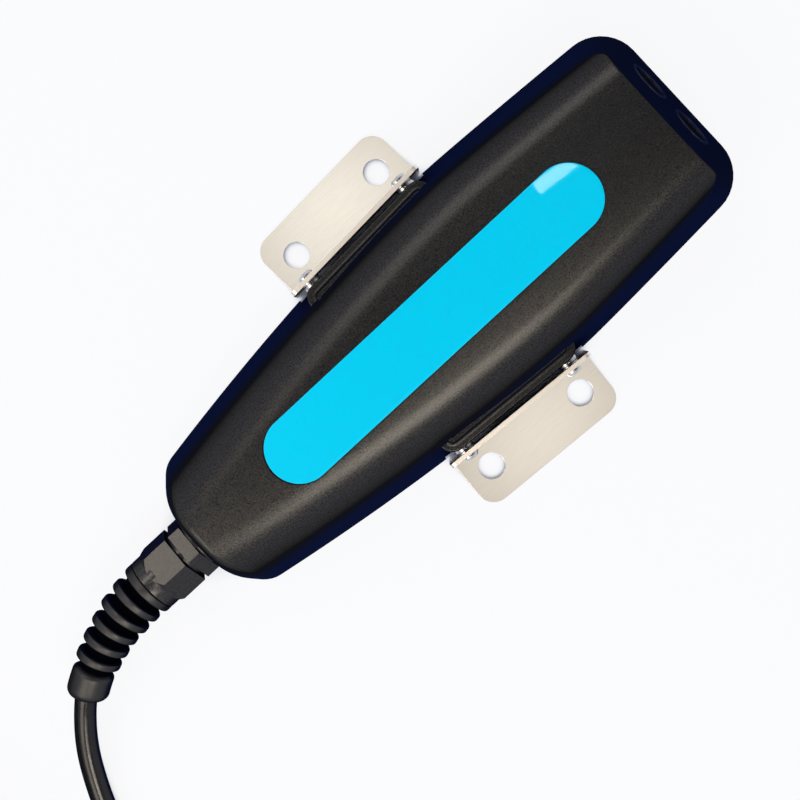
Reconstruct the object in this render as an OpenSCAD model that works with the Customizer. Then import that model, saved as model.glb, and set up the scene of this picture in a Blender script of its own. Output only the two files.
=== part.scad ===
// Ultrasonic open-channel flow sensor: a moulded housing with two transducers in its leaning nose,
// a bent steel bracket on each side, a cable gland with a bend guard, and its cable, coiled.
// Millimetres. The origin is the middle of the base on the channel bed, +X runs to the nose, +Z up.

/* [Housing] */
// Distance from the origin to the nose's lower edge
nose_reach = 104.8; // [98:0.1:125]
// Distance from the origin to the rear face
rear_reach = 100.5; // [96:0.1:120]
// Width of the base at its widest place
body_w = 75.8; // [74:0.1:86]
// Distance from the origin forward to the widest place
widest_x = 30; // [20:1:40]
// Width of the base at the nose, before its corners are rounded
nose_w = 68.5; // [66:0.1:74]
// Width of the base at the rear face, before its corners are rounded
rear_w = 48.5; // [47:0.1:56]
// Height of the housing at its rear face
rear_h = 27.5; // [27:0.1:32]
// Height of the nose's upper edge
nose_h = 46; // [43:0.1:54]
// How far the nose face leans back, in degrees
nose_lean = 20; // [16:0.5:24]
// Thickness of the housing's wall
wall = 3.8; // [3.2:0.1:4.5]
// Radius of the nose's two upright corners
nose_corner_r = 13.5; // [10:0.5:16]
// Radius of the rear's two upright corners
rear_corner_r = 8; // [6:0.5:15]
// Radius of the shoulders at the nose
nose_shoulder_r = 14; // [11:0.5:16]
// Radius of the shoulders at the rear
rear_shoulder_r = 20; // [17:0.5:20.5]

/* [Label] */
// Length of the name label
label_l = 131; // [100:1:140]
// Width of the name label
label_w = 21.4; // [16:0.2:24]
// Thickness of the name label
label_t = 0.5; // [0.3:0.1:0.8]

/* [Brackets] */
// Length of each bracket along the housing
bracket_l = 55; // [52:0.5:62]
// Height of the upright leg
leg_h = 25; // [22:0.5:28]
// Width of the foot, from the leg's outer face
foot_w = 19.7; // [17:0.1:26]
// Thickness of the sheet
sheet_t = 1.5; // [1:0.1:2]
// Distance between the two holes in the foot
foot_pitch = 36.7; // [30:0.1:40]
// Diameter of the holes in the foot
foot_hole_d = 8.5; // [6:0.1:9]
// Distance between the two screws in the leg
leg_pitch = 41.6; // [36:0.1:44]

/* [Transducers] */
// Diameter of each transducer's cup, seen as a round in the nose
cup_d = 14.6; // [12:0.1:15.5]
// Distance between the two transducers
cup_pitch = 19; // [18.5:0.1:22]
// Height of the transducers' centres in the nose face
cup_z = 20; // [18:0.5:24]
// Length of each transducer's cup
cup_l = 14; // [12:0.5:16]

/* [Cable] */
// Diameter of the cable
cable_d = 7.2; // [6:0.1:7.6]
// Width across the gland's flats
gland_flats = 18; // [17:0.1:18.6]
// Height of the gland's axis over the base
gland_z = 14.5; // [14:0.1:16]
// Radius that the bend guard's axis follows
guard_bend_r = 70; // [60:1:80]
// Number of ribs on the bend guard
guard_ribs = 5; // [3:1:5]

/* [Hidden] */

$fn = 48;
// Overrun of every cut past the face that it leaves
over = 1;
// Clearance of a piece that is pushed or screwed into its seat
snug = 0.02;
tiny = 0.0001;
head_rim_share = 0.6;
head_top_share = 0.75;
cross_l_share = 1.2;
cross_w_share = 0.2;
cross_from_share = 0.5;
lead_bend_shares = [0.3, 0.7];
// Radial clearance of a piece that turns on another
running = 0.05;
// Gap between pieces that lie beside each other without touching
free_gap = 0.3;

// Shape of the housing's plan, crown and sides
nose_taper_power = 1.24;
rear_taper_power = 1.76;
crown_r = 160;
nose_draft = 10;
rear_draft = 14;
lean_from = widest_x;
nose_edge_r = 0.8;
rear_edge_r = 3;
least_r = 0.4;
end_trim = 0.03;
cavity_trim = 0.3;
nose_round_share = 0.45;
rear_round_share = 0.15;
crown_steps = 4;
shoulder_steps = 8;
side_steps = 2;
corner_steps = 5;
body_steps = 13;

nose_tilt = tan(nose_lean);
crest_x = nose_reach - nose_h * nose_tilt;
top_rise = (nose_h - rear_h) / (crest_x + rear_reach);
top_angle = atan(top_rise);

// Base plate in its recess under the wall
lip = 3;
plate_t = 3;
gasket_t = 0.8;
plate_gap = 0.2;
recess_h = plate_t + gasket_t;

// Base screws, their bosses and inserts, and where they stand
base_screw_r = 1.5;
base_screw_l = 9;
base_head_r = 2.9;
base_head_h = 1.6;
insert_wall = 0.8;
insert_l = 5;
boss_r = 3.6;
boss_inset = 7.4;
boss_h = 9;
boss_rear_gap = 22.11;
boss_mid_x = 2.01;
boss_nose_gap = 28.42;

// Brackets, their seats, spacers and screws
seat_inset = 1.7;
spacer_t = 1.4;
pad_h = 23.5;
pad_margin = 1.5;
seat_margin = 0.8;
bend_r = 1.2;
foot_corner_r = 6;
leg_corner_r = 2;
leg_screw_r = 1.5;
leg_screw_z = 14;
leg_screw_l = 6.5;
leg_head_r = 2.75;
leg_head_h = 2.1;
leg_hole_gap = 0.2;
leg_insert_l = 4.4;
spacer_r = 3.2;
half_bracket = bracket_l / 2;
bracket_turn = atan((half_w(half_bracket) - half_w(-half_bracket)) / bracket_l);
seat_y = half_w(0) * cos(bracket_turn) - seat_inset;
leg_in = seat_y + spacer_t;
leg_out = leg_in + sheet_t;
foot_out = leg_out + foot_w;
foot_hole_share = 0.45;
foot_hole_y = leg_out + foot_hole_share * foot_w;
pad_l = bracket_l - 2 * pad_margin;

// Label recess
recess_gap = 0.4;
recess_depth = 0.7;
label_mid_share = 0.478;
label_x = -rear_reach + label_mid_share * (nose_reach + rear_reach);

// Transducers, from the nose face inwards
rim_proud = 0.4;
cup_wall = 1;
cup_floor = 1.5;
window_sunk = 0.5;
window_t = 1.6;
crystal_t = 1.5;
lead_r = 0.8;
boss_wall = 2.1;
cup_boss_l = 9;
cup_x = nose_reach - cup_z * nose_tilt;
cup_r = cup_d / 2;
bore_r = cup_r - cup_wall;
backing_t = cup_l - cup_floor - window_sunk - window_t - crystal_t;

// Circuit board and what it carries
board_rear_gap = 36.5;
board_nose_gap = 72.8;
board_l = nose_reach + rear_reach - board_rear_gap - board_nose_gap;
board_w = 34;
board_t = 1.6;
board_mid_x = (nose_reach - board_nose_gap + board_rear_gap - rear_reach) / 2;
board_z = plate_t + 5;
standoff_r = 3;
board_hole_inset = 3.6;
board_screw_r = 1.2;
board_screw_l = 6;
board_head_r = 2.1;
board_head_h = 1.4;
board_top = board_z + board_t;
processor_w = 14;
processor_t = 1.6;
amplifier_l = 10;
amplifier_w = 6;
amplifier_t = 1.8;
transformer_w = 13;
transformer_h = 9;
capacitor_r = 4;
capacitor_h = 9;
terminal_l = 9;
terminal_w = 20;
terminal_h = 9;
terminal_inset = 3.5;
terminal_hole_r = 1.1;
terminal_pitch = 4.4;
header_l = 5;
header_w = 18;
header_h = 6;
header_inset = 17;
header_y_share = 0.3;
beside_gap = 2;
capacitor_gap = 1.5;
amplifier_gap = 7;

// Places along the board from its middle: a row between terminal and header shares the room left over
row_shares = [5 / 49, 7 / 49, 15 / 49];
terminal_at = [terminal_inset + terminal_l / 2 - board_l / 2, 0];
header_at = [board_l / 2 - header_inset - header_l / 2, 0];
row_from = terminal_at[0] + terminal_l / 2;
row_left = header_at[0] - header_l / 2 - row_from - amplifier_l - transformer_w - processor_w;
rear_amplifier_x = row_from + row_shares[0] * row_left + amplifier_l / 2;
transformer_at = [rear_amplifier_x + amplifier_l / 2 + row_shares[1] * row_left + transformer_w / 2, 0];
processor_at = [transformer_at[0] + transformer_w / 2 + row_shares[2] * row_left + processor_w / 2, 0];
front_amplifier_x = header_at[0] - header_l / 2 - amplifier_gap - amplifier_l / 2;
front_amplifier_y = processor_w / 2 + beside_gap + amplifier_w / 2;
amplifier_places = [[rear_amplifier_x, 0],
    [front_amplifier_x, front_amplifier_y], [front_amplifier_x, -front_amplifier_y]];
capacitor_x = row_from + capacitor_gap + capacitor_r;
capacitor_y = amplifier_w / 2 + beside_gap + capacitor_r;
capacitor_places = [[capacitor_x, capacitor_y], [capacitor_x, -capacitor_y]];

// Depth cell over its port, and the temperature probe
cell_nose_gap = 50.8;
cell_x = nose_reach - cell_nose_gap;
cell_r = 9.5;
cell_h = 6;
cell_wall = 2.4;
cell_seat = 0.5;
cell_ring_h = 2;
cell_ring_bore_r = 6;
port_r = 1.1;
port_ring_r = 3.4;
port_holes = 6;
seal_cord_r = 0.8;
seal_ring_r = 7.2;
probe_nose_gap = 28.8;
probe_x = nose_reach - probe_nose_gap;
probe_r = 2.4;
probe_h = 9;
probe_tip = 0.5;

// Gland, measured back from the rear face
gland_ring_t = 0.8;
gland_hex_l = 4.5;
gland_neck_l = 1.3;
gland_turn = 45;
gland_neck_r = 7.9;
gland_thread_r = 7.5;
gland_thread_l = 9;
gland_bore_r = 4.1;
gland_seat_r = 10.6;
gland_seat_l = 7;
gland_seat_proud = 0.3;
locknut_l = 5;
locknut_turn = 30;
stub_proud = 1.2;
seal_l = 5;
seal_r = 5.6;
cage_l = 2.6;
cage_r = 5.6;
cage_slots = 8;
cage_slot_w = 0.8;
nut_hex_l = 9.1;
nut_round_l = 4.4;
nut_fade_from = 8.6;
nut_fade_share = 0.65;
nut_l = nut_hex_l + nut_round_l;
nut_round_r = 9.15;
spigot_r = 6.2;
gland_face = rear_reach + gland_seat_proud;
gland_hex_r = gland_flats / 2 / cos(30);
nut_start = gland_ring_t + gland_hex_l + gland_neck_l;
nut_end = nut_start + nut_l;
stub_l = gland_seat_l + locknut_l + stub_proud;
thread_end = nut_start + gland_thread_l;
spigot_l = nut_end - thread_end - cage_l;

// Bend guard: its rings and sleeve along its own curved axis
guard_start = nut_end + free_gap;
guard_dip = 18;
collar_w = 2.6;
rib_pitch = 5.5;
rib_w = 2.4;
rib_slope = 0.3;
groove_depth = 2.1;
sleeve_l = 11;
sleeve_r = 6.7;
sleeve_round = 1.6;
guard_gap = 0.35;
sleeve_turn = 45;
guard_bore_steps = 7;
guard_radii = [9.15, 8.8, 8.5, 7.9, 7.55, 7.25];
guard_sides = 20;
guard_l = collar_w / 2 + guard_ribs * rib_pitch + rib_w + sleeve_l;

// Cable inside the housing and the guard
cable_r = cable_d / 2;
cable_sides = 10;
entry_in = 28;
core_r = 0.7;
core_count = 4;
core_dip = 1;
core_lead = 1.5;
core_bend_shares = [0.4, 0.7];
entry_steps = 7;
entry_lead = 1.5;

// Free cable: places on its way from the guard's end to the coil, chosen by hand
cable_route = [
    [-165.2, -15.3, 9.5], [-169.9, -20.3, 8.2], [-174.1, -25.8, 6.9], [-177.7, -31.8, 5.8],
    [-180.9, -38.1, 4.9], [-183.7, -44.5, 4.2], [-186.8, -50.8, 3.8], [-191.2, -57.0, 3.6],
    [-197.6, -62.7, 3.6], [-206.0, -67.2, 3.6], [-216.5, -69.8, 3.6], [-228.5, -70.8, 3.7],
    [-241.0, -71.0, 4.0], [-253.0, -71.0, 4.4], [-265.0, -71.0, 4.6]
];
// Tail: places on its way from the coil's last loop down to the plug, chosen by hand
tail_route = [
    [-272.0, 55.0, 28.0], [-266.0, 55.0, 26.9], [-259.5, 54.9, 24.4], [-252.0, 54.6, 20.8],
    [-244.0, 54.1, 16.5], [-236.0, 53.5, 12.4], [-228.5, 53.1, 9.8]
];

// Coil of the cable, put away behind the sensor
coil_at = [-284, -8];
coil_out_r = 63;
coil_step = 7.8;
coil_layers = 4;
layer_turns = 3.5;
climb_turns = 0.5;
climb_bulge = 1.4;
coil_ring_turn = 30;
loop_rings = 24;
coil_sides = 6;
tie_t = 1;
tie_w = 5;
tie_gap = 0.4;
tie_corner_r = 3;
tie_places = [0.06, 0.44];
coil_in_r = coil_out_r - layer_turns * coil_step;
coil_z = tie_t + cable_r;
coil_top_z = coil_z + (coil_layers - 1) * coil_step;
coil_turns = coil_layers * layer_turns + (coil_layers - 1) * climb_turns;

// Cable plug lying on the bed
plug_x = -222;
plug_y = 53;
ring_r = 9;
ring_l = 15;
ring_bore_r = 7.7;
ring_flutes = 18;
flute_r = 0.8;
back_nut_l = 11;
back_nut_r = 7;
plug_body_l = 19;
plug_body_r = 7.3;
plug_collar_l = 3;
plug_nose_l = 14;
insert_r = 5.6;
insert_len = 16;
contact_r = 0.9;
contact_ring_r = 3;
contact_count = 5;
contact_l = 12;
bush_r = 5.2;
bush_l = 8;
plug_z = ring_r;
plug_entry = [plug_x, plug_y, plug_z];
cable_start = guard_place(guard_l);
coil_first = [coil_at[0] + cable_d, coil_at[1] - coil_out_r, coil_z];
coil_last = [coil_at[0] + cable_d, coil_at[1] + coil_out_r, coil_top_z];

// Housing form

function mix(a, b, s) = a + (b - a) * s;
function smooth(s) = let (c = max(0, min(1, s))) c * c * (3 - 2 * c);
function along(x) = (x + rear_reach) / (nose_reach + rear_reach);
function half_w(x) = x > widest_x
    ? body_w / 2 - (body_w - nose_w) / 2 * pow((x - widest_x) / (nose_reach - widest_x), nose_taper_power)
    : body_w / 2 - (body_w - rear_w) / 2 * pow((widest_x - x) / (widest_x + rear_reach), rear_taper_power);
function lean_at(x) = nose_tilt * max(0, (x - lean_from) / (nose_reach - lean_from));
function crown_z(x) = rear_h + top_rise * (x + rear_reach);

// Half of the section whose foot stands at x, from the crown's middle down to the foot.
// Each point is [y, z, angle of its normal from upright, share of the end rounding, share of the lift].
function half_section(x, inset, foot_z) =
    let (
        d = mix(rear_draft, nose_draft, along(x)),
        h = crown_z(x) / (1 + top_rise * lean_at(x)) - inset,
        w = half_w(x) - inset / cos(d),
        r = mix(rear_shoulder_r, nose_shoulder_r, along(x)) - inset,
        big = crown_r - inset,
        reach = big - r,
        a0 = asin((w * cos(d) - r - (h - big) * sin(d)) / reach) - d,
        mid = [reach * sin(a0), h - big + reach * cos(a0)],
        turn_z = mid[1] + r * sin(d)
    )
    concat(
        [for (i = [0 : crown_steps - 1]) let (a = a0 * i / crown_steps)
            [big * sin(a), h - big + big * cos(a), a, 0, 1]],
        [for (i = [0 : shoulder_steps]) let (s = i / shoulder_steps, a = mix(a0, 90 - d, s))
            [mid[0] + r * sin(a), mid[1] + r * cos(a), a, s, 1]],
        [for (i = [1 : side_steps]) let (s = i / side_steps, z = mix(turn_z, foot_z, s))
            [w - z * tan(d), z, 90 - d, 1, 1 - s]]
    );

// A section's points as places in space, its plane leaning back near the nose
function station(x, inset, foot_z) =
    [for (p = half_section(x, inset, foot_z)) [x - lean_at(x) * p[1], p[0], p[1]]];

// The rounding at either end: turn runs from 0 at its start to 90 in the end face
function end_station(side, turn, inset, foot_z) =
    let (
        end = side > 0 ? nose_reach - inset / cos(nose_lean) : inset - rear_reach,
        corner = side > 0 ? nose_corner_r : rear_corner_r,
        edge = side > 0 ? nose_edge_r : rear_edge_r,
        from = side > 0 ? nose_round_share : rear_round_share,
        marks = half_section(end, inset, foot_z)
    )
    [for (j = [0 : len(marks) - 1])
        let (
            s = smooth((marks[j][3] - from) / (1 - from)),
            r = max(least_r, mix(edge, corner, s) - inset),
            x = end - side * r * (1 - sin(turn)),
            p = half_section(x, inset, foot_z)[j],
            back = r * (1 - cos(turn)),
            z = p[1] - back * cos(p[2]) * p[4]
        )
        [x - lean_at(x) * z, p[0] - back * sin(p[2]), z]];

function half_stations(inset, foot_z) = concat(
    [for (i = [0 : corner_steps]) end_station(-1, 90 * (1 - i / corner_steps), inset, foot_z)],
    [for (i = [1 : body_steps])
        station(mix(rear_corner_r - rear_reach, nose_reach - nose_corner_r, i / (body_steps + 1)),
            inset, foot_z)],
    [for (i = [0 : corner_steps]) end_station(1, 90 * i / corner_steps, inset, foot_z)]
);

// Whole ring from half of it: up the left side, over the crown and down the right side
function whole(half) = concat(
    [for (j = [len(half) - 1 : -1 : 0]) half[j]],
    [for (j = [1 : len(half) - 1]) [half[j][0], -half[j][1], half[j][2]]]
);

// Plan of the base, drawn in by inset
function plan(inset) =
    let (feet = [for (half = half_stations(inset, 0)) half[len(half) - 1]])
    concat([for (p = feet) [p[0], p[1]]], [for (i = [len(feet) - 1 : -1 : 0]) [feet[i][0], -feet[i][1]]]);

// Rings of points joined by triangles: capped at both ends, or closed into a loop
module skin(rings, loop = false) {
    n = len(rings[0]);
    m = len(rings);
    spans = loop ? m : m - 1;
    polyhedron(
        points = [for (ring = rings) each ring],
        faces = concat(
            [for (i = [0 : spans - 1], j = [0 : n - 1])
                each let (k = (j + 1) % n, i2 = (i + 1) % m, a = i * n + j, b = i * n + k, c = i2 * n + k,
                    d = i2 * n + j) [[a, c, b], [a, d, c]]],
            loop ? [] : [[for (j = [0 : n - 1]) j], [for (j = [n - 1 : -1 : 0]) (m - 1) * n + j]]
        )
    );
}

// A ring of points round p, square to the direction given
function ring_round(p, direction, r, sides, first = 0) =
    let (
        t = direction / norm(direction),
        s = cross([0, 0, 1], t) / norm(cross([0, 0, 1], t)),
        u = cross(t, s)
    )
    [for (k = [0 : sides - 1]) let (a = first + 360 * k / sides) p + r * (cos(a) * s + sin(a) * u)];

function tube_rings(route, r, sides, first = 0) =
    [for (i = [0 : len(route) - 1])
        let (back = route[max(0, i - 1)], ahead = route[min(len(route) - 1, i + 1)])
        ring_round(route[i], ahead - back, r, sides, first)];

module tube(route, r, sides, first = 0) skin(tube_rings(route, r, sides, first));

// Frames of reference

module at_side(side) mirror([0, side > 0 ? 0 : 1, 0])
    rotate([0, 0, bracket_turn]) translate([seat_y * tan(bracket_turn), 0, 0]) children();
module at_cup(side) translate([cup_x, side * cup_pitch / 2, cup_z])
    rotate([0, 90 - nose_lean, 0]) children();
module at_gland() translate([-gland_face, 0, gland_z]) rotate([0, -90, 0]) children();
module at_label() translate([label_x, 0, crown_z(label_x)]) rotate([0, -top_angle, 0]) children();
module at_plug() translate([plug_x, plug_y, plug_z]) rotate([0, 90, 0]) children();
module on_board(place) translate([board_mid_x + place[0], place[1], board_top]) children();
module facing_out() rotate([-90, 0, 0]) children();

function boss_places() =
    [for (x = [boss_rear_gap - rear_reach, boss_mid_x, nose_reach - boss_nose_gap], side = [1, -1])
        [x, side * (half_w(x) - boss_inset)]];
function leg_screw_places() = [for (e = [-1, 1]) [e * leg_pitch / 2, leg_screw_z]];
function board_corners() = [for (ex = [-1, 1], ey = [-1, 1])
    [board_mid_x + ex * (board_l / 2 - board_hole_inset), ey * (board_w / 2 - board_hole_inset)]];

// Small shapes that repeat

module ring(outer, inner, h) difference() {
    cylinder(r = outer, h = h);
    translate([0, 0, -over]) cylinder(r = inner, h = h + 2 * over);
}

module stadium(l, w, h) {
    cube_l = l - w;
    translate([-cube_l / 2, -w / 2, 0]) cube([cube_l, w, h]);
    for (e = [-1, 1]) translate([e * cube_l / 2, 0, 0]) cylinder(r = w / 2, h = h);
}

// Plate from its straight edge at y = 0 out to w, with two rounded outer corners
module rounded_plate(l, w, r, t) linear_extrude(t) {
    translate([-l / 2, 0]) square([l, w - r]);
    translate([r - l / 2, 0]) square([l - 2 * r, w]);
    for (e = [-1, 1]) translate([e * (l / 2 - r), w - r]) circle(r = r);
}

// Screw with its head above z = 0 and its shank below, and a cross cut in the head
module pan_screw(r, l, head_r, head_h) difference() {
    union() {
        translate([0, 0, -l]) cylinder(r = r, h = l);
        cylinder(r = head_r, h = head_rim_share * head_h);
        translate([0, 0, head_rim_share * head_h])
            cylinder(r1 = head_r, r2 = head_top_share * head_r, h = (1 - head_rim_share) * head_h);
    }
    cross_cut(head_r, head_h);
}

module cross_cut(head_r, head_h) for (turn = [0, 90]) rotate([0, 0, turn])
    translate([-cross_l_share / 2 * head_r, -cross_w_share / 2 * head_r, cross_from_share * head_h])
        cube([cross_l_share * head_r, cross_w_share * head_r, head_h]);

// Housing and base

module upper_housing() color("#1d1f22") difference() {
    union() {
        difference() {
            skin([for (half = half_stations(0, 0)) whole(half)]);
            end_trims(0, end_trim);
            for (side = [1, -1]) at_side(side) seat_cut();
            cavity();
            translate([0, 0, -over]) linear_extrude(recess_h + over) polygon(plan(lip));
        }
        for (side = [1, -1]) at_side(side) pad();
        at_gland() translate([0, 0, -gland_seat_l]) cylinder(r = gland_seat_r, h = gland_seat_l);
        for (p = boss_places()) translate([p[0], p[1], plate_t + snug]) cylinder(r = boss_r, h = boss_h);
        cup_block();
    }
    for (p = boss_places()) translate([p[0], p[1], 0])
        cylinder(r = base_screw_r + insert_wall + snug, h = plate_t + insert_l + 2 * snug);
    for (side = [1, -1]) {
        at_side(side) for (p = leg_screw_places()) translate([p[0], seat_y - leg_insert_l, p[1]])
            facing_out() cylinder(r = leg_screw_r + insert_wall + snug, h = leg_insert_l + over);
        at_cup(side) translate([0, 0, -cup_l]) cylinder(r = cup_r + snug, h = cup_l + over);
    }
    at_gland() translate([0, 0, -gland_seat_l - over])
        cylinder(r = gland_thread_r + snug, h = gland_seat_l + 2 * over);
    at_label() translate([0, 0, -recess_depth])
        stadium(label_l + 2 * recess_gap, label_w + 2 * recess_gap, recess_depth + over);
}

// Exact planes just inside a loft's two end faces, which cut it off there
module end_trims(inset, bite) {
    thick = 2 * wall;
    translate([inset + bite - thick - rear_reach, -body_w / 2, -2 * over]) cube([thick, body_w, nose_h]);
    translate([nose_reach, -body_w / 2, 0]) rotate([0, -nose_lean, 0]) translate([-inset - bite, 0, -thick])
        cube([thick, body_w, 2 * nose_h]);
}

module cavity() difference() {
    skin([for (half = half_stations(wall, -over)) whole(half)]);
    end_trims(wall, cavity_trim);
}

// Block behind the nose face that holds both cups
module cup_block() {
    high = 2 * (cup_r + boss_wall);
    translate([cup_x, 0, cup_z]) rotate([0, 90 - nose_lean, 0])
        translate([-high / 2, -high, -cup_boss_l]) cube([high, 2 * high, cup_boss_l - wall / 2]);
}

// Flat that the bracket's seat cuts in the drafted side
module seat_cut() translate([-half_bracket - seat_margin, seat_y, -over])
    cube([bracket_l + 2 * seat_margin, leg_out, leg_h + 2 * over]);

// Pad that carries the bracket's screws, its inner side inside the wall
module pad() difference() {
    translate([-pad_l / 2, seat_y - leg_insert_l - insert_wall, plate_t + gasket_t])
        cube([pad_l, leg_insert_l + insert_wall, pad_h - plate_t - gasket_t]);
    translate([0, seat_y, pad_h]) rotate([45, 0, 0]) cube([bracket_l, spacer_t, spacer_t], center = true);
}

module base_plate() color("#26282b") difference() {
    union() {
        linear_extrude(plate_t) polygon(plan(lip + plate_gap));
        for (p = board_corners()) translate([p[0], p[1], 0]) cylinder(r = standoff_r, h = board_z);
        translate([cell_x, 0, 0]) cylinder(r = cell_r + cell_wall, h = plate_t + cell_h + cell_ring_h);
        translate([probe_x, 0, 0]) cylinder(r = probe_r + insert_wall, h = plate_t + probe_tip);
    }
    for (p = boss_places()) translate([p[0], p[1], 0]) {
        translate([0, 0, -over]) cylinder(r = base_screw_r + leg_hole_gap, h = plate_t + 2 * over);
        cylinder(r1 = base_head_r + snug, r2 = base_screw_r + snug, h = base_head_h);
    }
    for (p = board_corners()) translate([p[0], p[1], board_z - board_screw_l])
        cylinder(r = board_screw_r + snug, h = board_screw_l + over);
    translate([cell_x, 0, 0]) {
        translate([0, 0, plate_t - cell_seat]) cylinder(r = cell_r + snug, h = cell_h + cell_ring_h + over);
        translate([0, 0, plate_t - cell_seat]) rotate_extrude() translate([seal_ring_r, 0])
            circle(r = seal_cord_r + snug);
        for (k = [1 : port_holes]) rotate([0, 0, 360 * k / port_holes]) translate([port_ring_r, 0, -over])
            cylinder(r = port_r, h = plate_t + 2 * over);
    }
    translate([probe_x, 0, -over]) cylinder(r = probe_r + snug, h = plate_t + probe_h);
}

module base_gasket() color("#3a3a3a") translate([0, 0, plate_t]) linear_extrude(gasket_t) difference() {
    polygon(plan(lip + plate_gap));
    polygon(plan(wall + plate_gap));
    for (p = boss_places()) translate(p) circle(r = boss_r + plate_gap);
}

module base_screws() color("#b9bcc0") for (p = boss_places()) translate([p[0], p[1], 0]) difference() {
    union() {
        cylinder(r1 = base_head_r, r2 = base_screw_r, h = base_head_h);
        cylinder(r = base_screw_r, h = base_screw_l - over);
    }
    mirror([0, 0, 1]) translate([0, 0, -base_head_h]) cross_cut(base_head_r, base_head_h);
}

module base_inserts() color("#c9a24b") for (p = boss_places()) translate([p[0], p[1], plate_t + 2 * snug])
    ring(base_screw_r + insert_wall, base_screw_r + snug, insert_l - snug);

module name_label() color("#00c4eb") at_label()
    translate([0, 0, -recess_depth]) stadium(label_l, label_w, label_t);

// Brackets

module bracket(side) at_side(side) difference() {
    union() {
        translate([0, leg_out + bend_r, 0])
            rounded_plate(bracket_l, foot_w - bend_r, foot_corner_r, sheet_t);
        translate([0, leg_out, sheet_t + bend_r]) rotate([90, 0, 0])
            rounded_plate(bracket_l, leg_h - sheet_t - bend_r, leg_corner_r, sheet_t);
        translate([-half_bracket, leg_out + bend_r, sheet_t + bend_r]) rotate([90, 0, 90])
            linear_extrude(bracket_l) bend_section();
    }
    for (e = [-1, 1]) translate([e * foot_pitch / 2, foot_hole_y, -over])
        cylinder(d = foot_hole_d, h = sheet_t + 2 * over);
    for (p = leg_screw_places()) translate([p[0], leg_in - over, p[1]])
        facing_out() cylinder(r = leg_screw_r + leg_hole_gap, h = sheet_t + 2 * over);
}

// Quarter ring of the sheet's bend, in the quadrant below and inside its centre
module bend_section() intersection() {
    difference() {
        circle(r = bend_r + sheet_t);
        circle(r = bend_r);
    }
    translate([-bend_r - sheet_t, -bend_r - sheet_t]) square(bend_r + sheet_t);
}

module left_bracket() color("#d9d5cc") bracket(1);
module right_bracket() color("#d9d5cc") bracket(-1);

module bracket_screws() color("#c7c9cc") for (side = [1, -1]) at_side(side) for (p = leg_screw_places())
    translate([p[0], leg_out, p[1]]) facing_out()
        pan_screw(leg_screw_r, leg_screw_l, leg_head_r, leg_head_h);

module bracket_spacers() color("#dfe1e3") for (side = [1, -1]) at_side(side) for (p = leg_screw_places())
    translate([p[0], seat_y, p[1]]) facing_out() ring(spacer_r, leg_screw_r + snug, spacer_t);

module bracket_inserts() color("#c9a24b") for (side = [1, -1]) at_side(side) for (p = leg_screw_places())
    translate([p[0], seat_y - leg_insert_l, p[1]]) facing_out()
        ring(leg_screw_r + insert_wall, leg_screw_r + snug, leg_insert_l);

// Transducers, each built on its own axis with z = 0 in the nose face

module cup(side) color("#15171c") at_cup(side) difference() {
    translate([0, 0, -cup_l]) cylinder(r = cup_r, h = cup_l + rim_proud);
    translate([0, 0, cup_floor - cup_l]) cylinder(r = bore_r, h = cup_l + over);
    translate([0, 0, -cup_l - over]) cylinder(r = lead_r + snug, h = cup_floor + 2 * over);
}

module in_cup(side, top, r, t) at_cup(side) translate([0, 0, -top - t]) cylinder(r = r - snug, h = t);

module window(side) color("#0b0c10") in_cup(side, window_sunk, bore_r, window_t);
module crystal(side) color("#c8c2b0") in_cup(side, window_sunk + window_t, bore_r, crystal_t);
module backing(side) color("#4a4038") in_cup(side, window_sunk + window_t + crystal_t, bore_r, backing_t);

module left_cup() cup(1);
module right_cup() cup(-1);
module left_window() window(1);
module right_window() window(-1);
module left_crystal() crystal(1);
module right_crystal() crystal(-1);
module left_backing() backing(1);
module right_backing() backing(-1);

// Lead from the cup's floor back to the header on the board
function cup_rear(side, back) =
    [cup_x - back * cos(nose_lean), side * cup_pitch / 2, cup_z - back * sin(nose_lean)];
function header_place(side) =
    [board_mid_x + header_at[0] + header_l / 2, side * header_y_share * header_w, board_top + header_h / 2];
module lead(side) {
    from = cup_rear(side, cup_l - cup_floor);
    to = header_place(side);
    clear = cup_rear(side, cup_l + boss_wall);
    tube(concat([from, clear], [for (s = lead_bend_shares) mix(clear, to, s)], [to]), lead_r, cable_sides);
}
module left_lead() color("#7a1f1f") lead(1);
module right_lead() color("#1f3a7a") lead(-1);

// Circuit board

module circuit_board() color("#1f6b3a") difference() {
    translate([board_mid_x - board_l / 2, -board_w / 2, board_z]) cube([board_l, board_w, board_t]);
    for (p = board_corners()) translate([p[0], p[1], board_z - over])
        cylinder(r = board_screw_r + leg_hole_gap, h = board_t + 2 * over);
}

module board_screws() color("#c7c9cc") for (p = board_corners()) translate([p[0], p[1], board_top])
    pan_screw(board_screw_r, board_t + board_screw_l - over, board_head_r, board_head_h);

module block(place, size) on_board(place) translate([-size[0] / 2, -size[1] / 2, 0]) cube(size);

module processor() color("#202020") block(processor_at, [processor_w, processor_w, processor_t]);

module amplifiers() color("#202020") for (place = amplifier_places)
    block(place, [amplifier_l, amplifier_w, amplifier_t]);

module transformer() color("#8a6d3b") difference() {
    block(transformer_at, [transformer_w, transformer_w, transformer_h]);
    on_board(transformer_at) translate([0, 0, transformer_h / 2])
        ring(transformer_w, transformer_w / 2 - over / 2, transformer_h / 4);
}

module capacitors() color("#2b3550") for (place = capacitor_places) on_board(place)
    cylinder(r = capacitor_r, h = capacitor_h);

function core_y(k) = (k - (core_count - 1) / 2) * terminal_pitch;

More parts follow.
